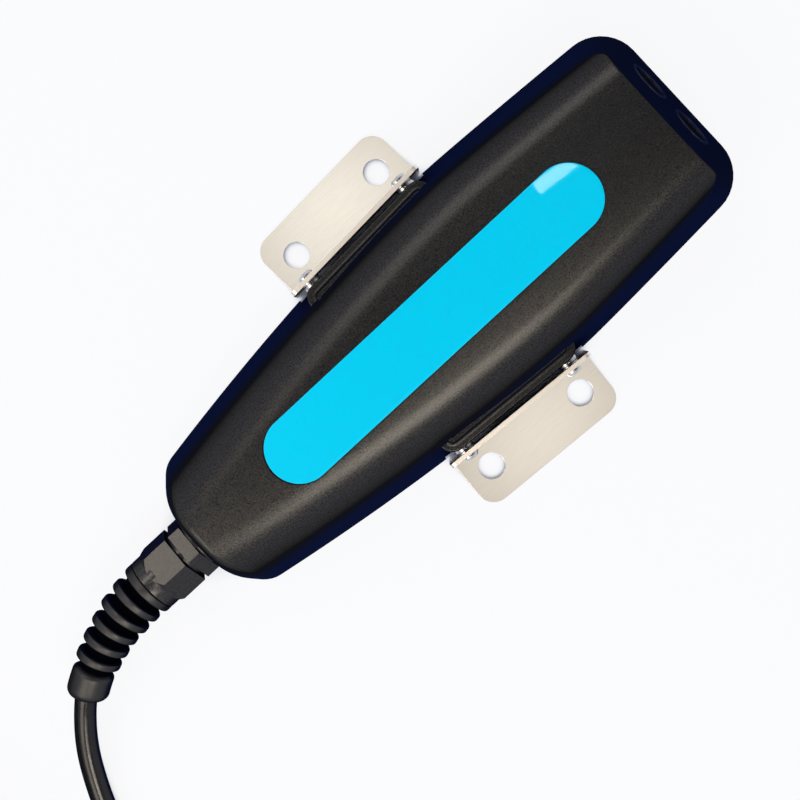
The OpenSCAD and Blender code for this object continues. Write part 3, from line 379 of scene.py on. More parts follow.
def dressed(node, body, material, edge, angle=35.0):
    """A solid's own form with its triangles joined into faces and its edges, in millimetres, broken."""
    bm = bmesh.new()
    bm.from_mesh(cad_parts[node].data)
    bmesh.ops.remove_doubles(bm, verts=bm.verts, dist=WELD_M)
    bmesh.ops.dissolve_limit(bm, angle_limit=radians(FLAT_ANGLE), verts=bm.verts, edges=bm.edges)
    obj = loose_object(node + "_finished", bm)
    broken = obj.modifiers.new("edge_break", "BEVEL")
    broken.width, broken.segments, broken.limit_method = edge * MM, 2, "ANGLE"
    broken.angle_limit = radians(angle)
    broken.use_clamp_overlap = True
    return finish_piece(obj, body, material, node, angle, scale=1.0)


def carried(material, *nodes):
    """Gives solids that show as they are their material."""
    for obj in [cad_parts[node] for node in nodes]:
        if obj.material_slots:
            for place in obj.material_slots:
                place.material = material
        else:
            obj.data.materials.append(material)


# Materials

def add(tree, kind, inputs=None, **settings):
    """Adds a node with its own settings, and gives each of the named inputs a value or a link."""
    node = tree.nodes.new(kind)
    for key, value in settings.items():
        setattr(node, key, value)
    for key, value in (inputs or {}).items():
        if isinstance(value, bpy.types.NodeSocket):
            tree.links.new(value, node.inputs[key])
        else:
            node.inputs[key].default_value = value
    return node


def emptied(owner):
    """The node tree of a material or world, cleared for its own nodes."""
    owner.use_nodes = True
    owner.node_tree.nodes.clear()
    return owner.node_tree


def finish(name, tint, other, grain_mm, rough, spread, bump_mm, metallic=0.0, stretch=(1, 1, 1),
           drift_mm=25.0, share=0.5, specular=0.5, coat=0.0, coat_rough=0.08, turn=0.0, dull_over=None,
           matt_rim=False, side_reflection_tint=None, glint=0.0, groove_shade=False):
    """A material from its real grain: tint drifting to another, roughness and relief from the grain.

    The tints are hex values, or the name of one of the panel's colours for the first.
    Two options paint light into the colour: a dark navy reflection on faces turned to the side, and shade in
    the grooves.
    """
    tint = linear(tint) if tint.startswith("#") else getattr(bpy.context.scene.sensor_colours, tint)
    made = bpy.data.materials.new(name)
    tree = emptied(made)
    place = add(tree, "ShaderNodeTexCoord")
    laid = add(tree, "ShaderNodeMapping",
               {"Vector": place.outputs["Object"], "Scale": stretch, "Rotation": (0, 0, turn)})
    grain = add(tree, "ShaderNodeTexNoise", {"Vector": laid.outputs["Vector"], "Scale": 1 / (grain_mm * MM),
                                             "Detail": 3.0, "Roughness": 0.6})
    drift = add(tree, "ShaderNodeTexNoise", {"Vector": place.outputs["Object"], "Scale": 1 / (drift_mm * MM),
                                             "Detail": 2.0, "Roughness": 0.5})
    blend = add(tree, "ShaderNodeMath", {0: grain.outputs["Fac"], 1: drift.outputs["Fac"]},
                operation="MULTIPLY")
    cloud = add(tree, "ShaderNodeMapRange", {"Value": blend.outputs["Value"], "From Min": CLOUD_FROM[0],
                                             "From Max": CLOUD_FROM[1], "To Max": share})
    tone = add(tree, "ShaderNodeMix", {"Factor": cloud.outputs["Result"], "A": tint, "B": linear(other)},
               data_type="RGBA")
    tone_out = tone.outputs["Result"]
    dull = add(tree, "ShaderNodeMapRange", {
        "Value": grain.outputs["Fac"], "From Min": GRAIN_FROM[0], "From Max": GRAIN_FROM[1],
        "To Min": max(LEAST_ROUGH, rough - spread), "To Max": rough + spread})
    rough_out = dull.outputs["Result"]
    if dull_over:
        # the sheared edge on top is duller than the rolled face
        high = add(tree, "ShaderNodeSeparateXYZ", {"Vector": place.outputs["Object"]})
        edge = add(tree, "ShaderNodeMapRange", {
            "Value": high.outputs["Z"], "From Min": (dull_over - SHEARED_BAND) * MM,
            "From Max": dull_over * MM, "To Max": SHEARED_DULL})
        duller = add(tree, "ShaderNodeMath", {0: rough_out, 1: edge.outputs["Result"]}, operation="ADD")
        rough_out = duller.outputs["Value"]
    if side_reflection_tint:
        # painted reflection: faces whose normal leans towards the horizontal get a dark navy base colour,
        # standing in for the dark blue floor they would mirror
        tilt = add(tree, "ShaderNodeSeparateXYZ", {"Vector": place.outputs["Normal"]})
        rise = add(tree, "ShaderNodeMapRange", {"Value": tilt.outputs["Z"], "From Min": SIDE_REFLECTION_FROM[0],
                                                "From Max": SIDE_REFLECTION_FROM[1]}, interpolation_type="SMOOTHSTEP")
        sides = add(tree, "ShaderNodeMix", {"Factor": rise.outputs["Result"], "A": tone_out,
                                             "B": linear(side_reflection_tint)}, data_type="RGBA")
        tone_out = sides.outputs["Result"]
    if groove_shade:
        # painted shade: the bottoms of the grooves are tinted near black and lose their specular sheen,
        # standing in for the shadow between the ribs
        down = add(tree, "ShaderNodeAttribute", attribute_name="groove_shade")
        groove_shaded = add(tree, "ShaderNodeMix", {"Factor": down.outputs["Fac"], "A": tone_out,
                                             "B": linear(GROOVE_SHADE_TINT)}, data_type="RGBA")
        tone_out = groove_shaded.outputs["Result"]
    relief = add(tree, "ShaderNodeBump", {"Height": grain.outputs["Fac"], "Strength": 1.0,
                                          "Distance": bump_mm * MM})
    shader = add(tree, "ShaderNodeBsdfPrincipled", {
        "Base Color": tone_out, "Roughness": rough_out, "Normal": relief.outputs["Normal"],
        "Metallic": metallic, "Specular IOR Level": specular, "Coat Weight": coat,
        "Coat Roughness": coat_rough})
    level_out = specular
    if glint:
        # single grains catch the light, so the sheen is speckled
        spark = add(tree, "ShaderNodeMapRange", {
            "Value": grain.outputs["Fac"], "From Min": SPARK_FROM[0], "From Max": SPARK_FROM[1],
            "To Min": 1 - glint, "To Max": 1 + 2 * glint})
        level = add(tree, "ShaderNodeMath", {0: spark.outputs["Result"], 1: specular}, operation="MULTIPLY")
        level_out = level.outputs["Value"]
    if groove_shade:
        # painted shade: the specular level falls to nothing at the bottoms of the grooves
        flat = add(tree, "ShaderNodeMath", {0: -specular, 1: down.outputs["Fac"], 2: specular},
                   operation="MULTIPLY_ADD")
        level_out = flat.outputs["Value"]
    if matt_rim:
        # the dry texture scatters grazing light, so the sheen fades where the surface turns away
        facing = add(tree, "ShaderNodeLayerWeight", {"Blend": 0.5})
        fade = add(tree, "ShaderNodeMapRange", {
            "Value": facing.outputs["Facing"], "From Min": RIM_FROM[0], "From Max": RIM_FROM[1],
            "To Min": 1.0, "To Max": 0.0}, interpolation_type="SMOOTHSTEP")
        faded = add(tree, "ShaderNodeMath", {0: fade.outputs["Result"], 1: level_out}, operation="MULTIPLY")
        tree.links.new(faded.outputs["Value"], shader.inputs["Specular IOR Level"])
    add(tree, "ShaderNodeOutputMaterial", {"Surface": shader.outputs["BSDF"]})
    return made


# What each finish is and what it gives the eye. Grain sizes are real, and those too fine for the
# picture, such as the spark-eroded texture, are drawn two or three times as coarse as they are.
def moulded_abs():
    """Black ABS from a spark-eroded mould: a soft wide sheen broken by a fine dry grain, and a painted dark
    navy reflection on its side faces.
    """
    return finish("spark_eroded_abs", "housing", "#151618", 0.42, 0.31, 0.06, 0.01, specular=0.42,
                  matt_rim=True, side_reflection_tint="#0c1431", glint=0.32)


def base_abs():
    """The same plastic from a polished plate tool, a little flatter and greyer."""
    return finish("plate_abs", "#26282b", "#303235", 0.6, 0.5, 0.06, 0.008)


def vinyl_film():
    """Cyan printed vinyl under a clear laminate: even, saturated and glossy, with a faint orange peel."""
    return finish("cyan_vinyl_film", "label", "#06bbe2", 3.0, 0.3, 0.04, 0.0, drift_mm=60.0, share=0.35,
                  specular=0.06, coat=0.25, coat_rough=0.02)


def rolled_stainless(name="cold_rolled_stainless", turn=0.0):
    """Bright cold-rolled 304 sheet: near-mirror with faint lines along the rolling direction."""
    return finish(name, "steel", "#e8e3da", 0.5, 0.1, 0.008, 0.0, metallic=1.0, stretch=(0.06, 1, 1),
                  turn=turn, dull_over=LEG_H - 0.1)


def turned_stainless():
    """Bright headed stainless screws and turned steel, lightly matt from passivation."""
    return finish("passivated_stainless", "#c9cbcd", "#b2b4b7", 0.25, 0.26, 0.06, 0.002, metallic=1.0)


def turned_brass():
    """Free-cutting brass with turning marks, slightly dulled."""
    return finish("turned_brass", "#caa45c", "#b58f4a", 0.2, 0.3, 0.06, 0.003, metallic=1.0)


def cast_epoxy():
    """Lapped black epoxy of the acoustic window: dark and glossy, with hair-fine lapping marks."""
    return finish("lapped_black_epoxy", "#0e1015", "#15171d", 0.3, 0.16, 0.04, 0.002, matt_rim=True)


def cup_polymer():
    """Turned black acetal of the transducer's cup: waxy and smooth, its base colour a painted dark navy
    reflection, lighter than the nose's so the rim shows.
    """
    return finish("turned_acetal", "#192140", "#202a4a", 0.3, 0.3, 0.05, 0.003, matt_rim=True)


def fired_ceramic():
    """Lead zirconate disc with burnt-on silver: pale, dry and slightly mottled."""
    return finish("silvered_piezo_ceramic", "#c9c0a9", "#b3a98f", 0.4, 0.45, 0.08, 0.004)


def loaded_resin():
    """Tungsten-loaded epoxy backing: brown-grey and granular."""
    return finish("loaded_epoxy", "#4c4239", "#2f2a25", 0.5, 0.6, 0.1, 0.02)


def wire_pvc(name, tint, other):
    """Wire insulation: bright soft PVC with a low gloss."""
    return finish(name, tint, other, 0.8, 0.35, 0.05, 0.003)


def solder_mask():
    """Green solder mask over copper on glass-epoxy: glossy, with the weave just felt."""
    return finish("solder_mask_board", "#1d6a3c", "#145230", 0.7, 0.28, 0.06, 0.006)


def chip_epoxy():
    """Moulded chip package: dark grey-black epoxy with a fine dry blast."""
    return finish("chip_mould_epoxy", "#1b1b1c", "#272728", 0.15, 0.55, 0.08, 0.004)


def ferrite_and_tape():
    """Sintered ferrite under varnished tape: brown and uneven."""
    return finish("varnished_ferrite", "#5b4729", "#33291c", 0.8, 0.4, 0.1, 0.01)


def can_sleeve():
    """Shrink sleeve of a capacitor can: blue-black and glossy."""
    return finish("shrink_sleeve", "#27324f", "#1c2438", 1.0, 0.25, 0.04, 0.003)


def terminal_pbt():
    """Green PBT of the terminal block: satin, moulded."""
    return finish("green_pbt", "#2c7a4a", "#226038", 0.5, 0.42, 0.06, 0.004)


def header_nylon():
    """Natural nylon of the header: cream and slightly waxy."""
    return finish("natural_nylon", "#e3dcca", "#d3cab4", 0.6, 0.45, 0.06, 0.004)


def gland_polyamide():
    """Dark polyamide of the gland: satin, with flow marks from the mould, soft highlights and a painted navy
    reflection on its side faces.
    """
    return finish("moulded_polyamide", "gland", "#2b2c30", 0.7, 0.27, 0.06, 0.01, specular=0.45,
                  matt_rim=True, side_reflection_tint="#0e1226", glint=0.2)


def guard_elastomer():
    """Soft elastomer of the bend guard: dull black ribs that only catch broad light, with painted shade in
    the grooves and a painted navy reflection on the side faces.
    """
    return finish("moulded_elastomer", "guard", "#232427", 0.6, 0.4, 0.07, 0.02, matt_rim=True,
                  side_reflection_tint="#0b1026", groove_shade=True)


def seal_rubber():
    """Nitrile of the seals and gaskets: matt, near black."""
    return finish("nitrile_rubber", "#151516", "#212122", 0.5, 0.65, 0.08, 0.008)


def sheath_pvc():
    """Extruded PVC sheath: deep black and glossy, with a faint waviness from the extruder and a painted navy
    reflection on its side faces.
    """
    return finish("extruded_pvc_sheath", "cable", "#1b1d20", 2.5, 0.2, 0.05, 0.02, drift_mm=15.0,
                  specular=0.4, matt_rim=True, side_reflection_tint="#0b1128")


def strap_nylon():
    """Black nylon strap of the cable ties: satin."""
    return finish("nylon_strap", "#131314", "#1f1f20", 0.5, 0.4, 0.06, 0.006)


def nickel_plate():
    """Satin nickel over die-cast zinc: soft grey metal with a faint grain."""
    return finish("satin_nickel_plate", "plug", "#a3a5a8", 0.4, 0.27, 0.06, 0.003, metallic=1.0)


def insert_polymer():
    """Black glass-filled insert of the plug: dry and even."""
    return finish("glass_filled_insert", "#161719", "#232527", 0.3, 0.5, 0.07, 0.006)


# Cable route

def guard_place(s):
    a = max(0.0, s) / GUARD_BEND_R
    dip = radians(GUARD_DIP)
    out = Vector((0, -cos(dip), -sin(dip)))
    start = Vector((-GLAND_FACE - GUARD_START - min(0.0, s), 0, GLAND_Z))
    return start + GUARD_BEND_R * (sin(a) * Vector((-1, 0, 0)) + (1 - cos(a)) * out)


def guard_way(s):
    a = max(0.0, s) / GUARD_BEND_R
    dip = radians(GUARD_DIP)
    return cos(a) * Vector((-1, 0, 0)) + sin(a) * Vector((0, -cos(dip), -sin(dip)))


def coil_place(t):
    per = LAYER_TURNS + CLIMB_TURNS
    layer = min(COIL_LAYERS - 1, int(t / per + 0.0001))
    u = t - layer * per
    run = min(u, LAYER_TURNS) * COIL_STEP
    climb = max(0.0, u - LAYER_TURNS) / CLIMB_TURNS
    aside = CLIMB_BULGE * sin(pi * climb)
    r = COIL_OUT_R - run - aside if layer % 2 == 0 else COIL_IN_R + run + aside
    a = -pi / 2 - 2 * pi * t
    return Vector((COIL_X + r * cos(a), COIL_Y + r * sin(a), COIL_Z + COIL_STEP * (layer + smooth(climb))))


def rounded_way(points, step=2.0):
    """Places about step apart on a smooth curve through the points."""
    made = []
    for i in range(len(points) - 1):
        before = points[max(0, i - 1)]
        a, b = points[i], points[i + 1]
        after = points[min(len(points) - 1, i + 2)]
        count = max(1, ceil((b - a).length / step))
        for k in range(count):
            s = k / count
            made.append(0.5 * (2 * a + (b - before) * s + (2 * before - 5 * a + 4 * b - after) * s ** 2
                               + (3 * a - before - 3 * b + after) * s ** 3))
    return made + [points[-1]]


def cable_way():
    first = Vector((COIL_X + CABLE_D, COIL_Y - COIL_OUT_R, COIL_Z))
    last = Vector((COIL_X + CABLE_D, COIL_Y + COIL_OUT_R, COIL_TOP_Z))
    entry = Vector((PLUG_X, PLUG_Y, PLUG_Z))
    turns = COIL_LAYERS * LAYER_TURNS + (COIL_LAYERS - 1) * CLIMB_TURNS
    rings = int(turns * COIL_RINGS)
    start = guard_place(GUARD_L)
    free = [start] + rounded_way([start + CABLE_LEAD * guard_way(GUARD_L)] + [Vector(p) for p in CABLE_ROUTE]
                                 + [first])
    coil = [coil_place(i / COIL_RINGS) for i in range(rings + 1)]
    tail = rounded_way([last] + [Vector(p) for p in TAIL_ROUTE] + [entry])
    return free + coil + tail + [entry + Vector((BUSH_L - 1, 0, 0))]


# Operators

class SENSOR_OT_stage(bpy.types.Operator):
    """Camera, floor and soft lights of the picture"""
    bl_idname = "sensor.stage"
    bl_label = "Stage"

    def execute(self, context):
        scene = context.scene
        stage = scene.sensor_stage
        scene.view_settings.view_transform = "Standard"

        lens = bpy.data.cameras.new("camera")
        lens.sensor_width = FILM_W
        lens.lens = stage.focal_px / IMAGE_SIDE * lens.sensor_width
        lens.shift_x = (IMAGE_SIDE / 2 - ORIGIN_PX[0]) / IMAGE_SIDE
        lens.shift_y = (ORIGIN_PX[1] - IMAGE_SIDE / 2) / IMAGE_SIDE
        lens.clip_start = 0.01
        camera = bpy.data.objects.new("camera", lens)
        camera.location = (0, 0, stage.camera_height)
        camera.rotation_euler = (0, 0, -stage.heading)
        scene.collection.objects.link(camera)
        scene.camera = camera

        bm = bmesh.new()
        bmesh.ops.create_grid(bm, x_segments=1, y_segments=1, size=FLOOR_HALF)
        bmesh.ops.translate(bm, verts=bm.verts, vec=(0, 0, FLOOR_Z))
        floor = loose_object("floor", bm)
        floor.data.materials.append(self.floor_material(stage.backdrop))

        for name, place, aim, size, power, tint, spin, spread in LAMPS:
            lamp = bpy.data.lights.new(name, "AREA")
            lamp.shape, lamp.size, lamp.size_y = "RECTANGLE", size[0], size[1]
            lamp.energy, lamp.color, lamp.spread = power, linear(tint)[:3], radians(spread)
            obj = bpy.data.objects.new(name, lamp)
            obj.location = place
            look = (Vector(aim) - Vector(place)).to_track_quat("-Z", "Y").to_matrix().to_4x4()
            obj.rotation_euler = (look @ Matrix.Rotation(radians(spin), 4, "Z")).to_euler()
            scene.collection.objects.link(obj)

        # A dim room: dark straight above, where the camera is held, and paler low down and behind
        world = bpy.data.worlds.new("studio")
        tree = emptied(world)
        way = add(tree, "ShaderNodeTexCoord")
        high = add(tree, "ShaderNodeSeparateXYZ", {"Vector": way.outputs["Generated"]})
        low = add(tree, "ShaderNodeMapRange", {
            "Value": high.outputs["Z"], "From Min": ROOM_Z[0], "From Max": ROOM_Z[1],
            "To Min": ROOM_LEVEL[0], "To Max": ROOM_LEVEL[1]})
        rear = add(tree, "ShaderNodeMapRange", {"Value": high.outputs["X"], "From Min": REAR_X[0],
                                                "From Max": REAR_X[1], "To Max": REAR_LEVEL})
        both = add(tree, "ShaderNodeMath", {0: low.outputs["Result"], 1: rear.outputs["Result"]},
                   operation="ADD")
        light = add(tree, "ShaderNodeBackground", {"Strength": both.outputs["Value"],
                                                   "Color": linear(ROOM_TINT)})
        add(tree, "ShaderNodeOutputWorld", {"Surface": light.outputs["Background"]})
        scene.world = world
        return {"FINISHED"}

    @staticmethod
    def floor_material(tint):
        """Pale paper that shows an even white to the camera and in every reflection."""
        made = bpy.data.materials.new("pale_floor")
        tree = emptied(made)
        way = add(tree, "ShaderNodeLightPath")
        place = add(tree, "ShaderNodeTexCoord")
        speck = add(tree, "ShaderNodeTexNoise", {"Vector": place.outputs["Object"], "Scale": PAPER_SCALE})
        tone = add(tree, "ShaderNodeMapRange", {"Value": speck.outputs["Fac"], "To Min": PAPER_LEVEL[0],
                                                "To Max": PAPER_LEVEL[1]})
        pulp = add(tree, "ShaderNodeMix", {"Factor": tone.outputs["Result"], "A": linear(PAPER_TINTS[0]),
                                           "B": linear(PAPER_TINTS[1])}, data_type="RGBA")
        paper = add(tree, "ShaderNodeBsdfDiffuse", {"Color": pulp.outputs["Result"]})
        glow = add(tree, "ShaderNodeEmission", {"Strength": 1.0, "Color": tint})
        mirrored = add(tree, "ShaderNodeMath", {0: way.outputs["Is Glossy Ray"],
                                                1: way.outputs["Is Transmission Ray"]}, operation="MAXIMUM")
        seen = add(tree, "ShaderNodeMath", {0: way.outputs["Is Camera Ray"], 1: mirrored.outputs["Value"]},
                   operation="MAXIMUM")
        # in the narrow gap behind a bracket's leg the floor is shaded from all sides
        hemmed = add(tree, "ShaderNodeAmbientOcclusion", {"Distance": SHADE_REACH})
        open_sky = add(tree, "ShaderNodeMapRange", {
            "Value": hemmed.outputs["AO"], "From Min": SHADE_FROM[0], "From Max": SHADE_FROM[1],
            "To Max": FLOOR_GLOW_SHARE})
        weight = add(tree, "ShaderNodeMath", {0: seen.outputs["Value"], 1: open_sky.outputs["Result"]},
                     operation="MULTIPLY")
        share = add(tree, "ShaderNodeMixShader", {0: weight.outputs["Value"], 1: paper.outputs["BSDF"],
                                                  2: glow.outputs["Emission"]})
        add(tree, "ShaderNodeOutputMaterial", {"Surface": share.outputs["Shader"]})
        return made


class SENSOR_OT_cable(bpy.types.Operator):
    """The free cable from the guard through its coil to the plug, with its ties"""
    bl_idname = "sensor.cable"
    bl_label = "Cable and coil"

    def execute(self, context):
        way = [p * MM for p in cable_way()]
        curve = bpy.data.curves.new("sensor_cable", "CURVE")
        curve.dimensions = "3D"
        curve.bevel_depth = CABLE_R * MM
        curve.bevel_resolution = 4
        curve.use_fill_caps = True
        spline = curve.splines.new("POLY")
        spline.points.add(len(way) - 1)
        for point, place in zip(spline.points, way):
            point.co = (*place, 1)
        spline.use_smooth = True
        cable = bpy.data.objects.new("sensor_cable", curve)
        context.scene.collection.objects.link(cable)
        sheath = sheath_pvc()
        curve.materials.append(sheath)
        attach(cable, "sensor")
        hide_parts("cable", "cable_coil", "cable_tail")
        ties = dressed("coil_ties", "sensor", strap_nylon(), TIE_EDGE)
        carried(sheath, "cable_entry")
        carried(wire_pvc("core_insulation", "#a33a2a", "#8a2f22"), "cable_cores")
        return {"FINISHED"}


class SENSOR_OT_housing(bpy.types.Operator):
    """The moulded housing with its label recess, bracket seats and pads, gland seat and cup bores"""
    bl_idname = "sensor.housing"
    bl_label = "Housing"

    def execute(self, context):
        shape = context.scene.sensor_shape
        steps = shape.housing_steps
        obj = loose_object("housing_shell", bridged(housing_rings(0, 0, steps)))
        start, inner, outer = -BRACKET_L / 2 - SEAT_MARGIN, seat_y(), seat_y() + SEAT_CUT_W
        face = [(start, inner, -SEAT_OVER), (start, outer, -SEAT_OVER), (start, outer, LEG_H + SEAT_OVER),
                (start, inner, LEG_H + SEAT_OVER)]
        for side in (1, -1):
            cut(obj, placed(bar(face, (-2 * start, 0, 0)), at_side(side)))
            cut(obj, placed(pad(), at_side(side)), "UNION")
        gland = Matrix.Translation((-GLAND_FACE, 0, GLAND_Z)) @ Matrix.Rotation(-pi / 2, 4, "Y")
        cut(obj, turned_bar(GLAND_SEAT_R, -GLAND_SEAT_L, 0, gland), "UNION")
        cut(obj, bridged(housing_rings(WALL, -FOOT_OVER, INNER_STEPS, INNER_CORNER_STEPS)))
        plate = [(p[0][0], p[0][1]) for p in housing_rings(LIP, 0, INNER_STEPS, PLATE_CORNER_STEPS)]
        plate += [(x, -y) for x, y in plate[::-1]]
        cut(obj, upright_bar(plate, -FOOT_OVER, RECESS_H))
        cut(obj, turned_bar(THREAD_R + SNUG, -THREAD_CUT_L, BORE_OVER, gland))
        for side in (1, -1):
            cut(obj, turned_bar(CUP_R + SNUG, -CUP_L, BORE_OVER, at_cup(side)))
        label = label_frame()
        recess = stadium(LABEL_L + 2 * RECESS_GAP, LABEL_W + 2 * RECESS_GAP)
        cut(obj, placed(upright_bar(recess, -RECESS_DEPTH, SEAT_OVER), label))
        soften_recess(obj, label, shape.recess_edge / MM)
        finish_piece(obj, "sensor", moulded_abs(), "upper_housing", 32.0)
        return {"FINISHED"}


def seat_y():
    return half_w(0) * cos(bracket_turn()) - SEAT_INSET


def bracket_turn():
    return atan((half_w(BRACKET_L / 2) - half_w(-BRACKET_L / 2)) / BRACKET_L)


def at_side(side):
    turn = bracket_turn()
    flip = Matrix.Scale(side, 4, (0, 1, 0))
    return flip @ Matrix.Rotation(turn, 4, "Z") @ Matrix.Translation((seat_y() * tan(turn), 0, 0))


def at_cup(side):
    place = Matrix.Translation((NOSE_REACH - CUP_Z * NOSE_TILT, side * CUP_PITCH / 2, CUP_Z))
    return place @ Matrix.Rotation(radians(90 - NOSE_LEAN), 4, "Y")


def label_frame():
    return Matrix.Translation((LABEL_X, 0, crown_z(LABEL_X))) @ Matrix.Rotation(-atan(TOP_RISE), 4, "Y")


def placed(bm, matrix):
    bmesh.ops.transform(bm, matrix=matrix, verts=bm.verts)
    bmesh.ops.recalc_face_normals(bm, faces=bm.faces)
    return bm


def stadium(whole, wide, steps=32):
    r = wide / 2
    straight = whole / 2 - r
    ring = []
    for i in range(steps + 1):
        a = -pi / 2 + pi * i / steps
        ring.append((straight + r * cos(a), r * sin(a)))
    return ring + [(-x, -y) for x, y in ring]


def pad():
    """The flat-topped pad behind a bracket's leg: rolled outer edge, fillet to the wall, rounded ends."""
    end, back = BRACKET_L / 2 - PAD_MARGIN, PAD_CORNER - PAD_TUCK
    turns = list(map(radians, range(0, 91, 15)))
    profile = [(0, RECESS_H)]
    profile += [(PAD_ROLL * (1 - sin(t)), PAD_H - PAD_ROLL * (1 - cos(t))) for t in turns[::-1]]
    profile += [(PAD_TOP_W - PAD_FILLET + PAD_FILLET * sin(t), PAD_H + PAD_FILLET * (1 - cos(t)))
                for t in turns]
    profile += [(back, PAD_H + PAD_FILLET), (back, RECESS_H)]
    way = [(-end, seat_y() - PAD_INTO_WALL, -1, 0)]
    for t in map(radians, range(0, 91, 9)):
        way.append((-end + PAD_CORNER * (1 - cos(t)), seat_y() - PAD_CORNER * (1 - sin(t)), -cos(t), sin(t)))
    way += [(-x, y, -nx, ny) for x, y, nx, ny in way[::-1]]
    return bridged([[(x - d * nx, y - d * ny, z) for d, z in profile] for x, y, nx, ny in way])


def soften_recess(obj, label, radius):
    """Rounds the rim of the label's recess."""
    bm = bmesh.new()
    bm.from_mesh(obj.data)
    back = label.inverted()
    r = LABEL_W / 2 + RECESS_GAP
    straight = LABEL_L / 2 - LABEL_W / 2

    def on_wall(vert):
        p = back @ vert.co
        away = hypot(max(0.0, abs(p.x) - straight), p.y)
        return abs(away - r) < WALL_NEAR and p.z > -RECESS_DEPTH + FLOOR_NEAR

    rim = [e for e in bm.edges if len(e.link_faces) == 2 and all(on_wall(v) for v in e.verts)
           and e.calc_face_angle(0) > radians(RIM_ANGLE)]
    bmesh.ops.bevel(bm, geom=rim, offset=radius, segments=3, profile=0.5, affect="EDGES", material=-1,
                    clamp_overlap=True)
    bm.to_mesh(obj.data)
    bm.free()


class SENSOR_OT_label(bpy.types.Operator):
    """The bare cyan label in its recess"""
    bl_idname = "sensor.label"
    bl_label = "Label"

    def execute(self, context):
        roll = context.scene.sensor_shape.label_edge / MM
        bm = upright_bar(stadium(LABEL_L, LABEL_W), -RECESS_DEPTH, LABEL_T - RECESS_DEPTH)
        top = [e for e in bm.edges if all(v.co.z > LABEL_T - RECESS_DEPTH - TOP_NEAR for v in e.verts)]
        bmesh.ops.bevel(bm, geom=top, offset=roll, segments=3, profile=0.5, affect="EDGES", material=-1)
        obj = loose_object("cyan_label", placed(bm, label_frame()))
        finish_piece(obj, "sensor", vinyl_film(), "name_label", 50.0)
        return {"FINISHED"}


class SENSOR_OT_brackets(bpy.types.Operator):
    """Both stainless brackets with their screws, spacers and inserts"""
    bl_idname = "sensor.brackets"
    bl_label = "Brackets"

    def execute(self, context):
        shape = context.scene.sensor_shape
        turn = bracket_turn()
        for node, way in (("left_bracket", -turn), ("right_bracket", turn)):
            dressed(node, "sensor", rolled_stainless("cold_rolled_stainless_" + node, way),
                    shape.sheet_edge / MM, angle=40.0)
        steel = turned_stainless()
        dressed("bracket_screws", "sensor", steel, SCREW_EDGE)
        dressed("bracket_spacers", "sensor", steel, SCREW_EDGE)
        carried(turned_brass(), "bracket_inserts")
        return {"FINISHED"}


class SENSOR_OT_transducers(bpy.types.Operator):
    """Both transducers: cups and windows in the nose, and what is behind them"""
    bl_idname = "sensor.transducers"
    bl_label = "Transducers"

    def execute(self, context):
        acetal, epoxy, ceramic, backing = cup_polymer(), cast_epoxy(), fired_ceramic(), loaded_resin()
        for side in ("left", "right"):
            dressed(side + "_cup", "sensor", acetal, TURNED_EDGE)
            dressed(side + "_window", "sensor", epoxy, TURNED_EDGE)
            carried(ceramic, side + "_crystal")
            carried(backing, side + "_backing")
        carried(wire_pvc("red_lead_insulation", "#8c2424", "#741c1c"), "left_lead")
        carried(wire_pvc("blue_lead_insulation", "#24448c", "#1c3874"), "right_lead")
        return {"FINISHED"}


class SENSOR_OT_gland(bpy.types.Operator):
    """The cable gland: ring, body, clamping nut, locknut, bush and cage"""
    bl_idname = "sensor.gland"
    bl_label = "Cable gland"

    def execute(self, context):
        edge = context.scene.sensor_shape.edge / MM
        nylon, rubber = gland_polyamide(), seal_rubber()
        dressed("gland_ring", "sensor", rubber, TURNED_EDGE)
        dressed("gland_body", "sensor", nylon, edge)
        dressed("clamping_nut", "gland_nut", nylon, edge)
        carried(nylon, "gland_locknut", "clamp_cage")
        carried(rubber, "seal_bush")
        return {"FINISHED"}


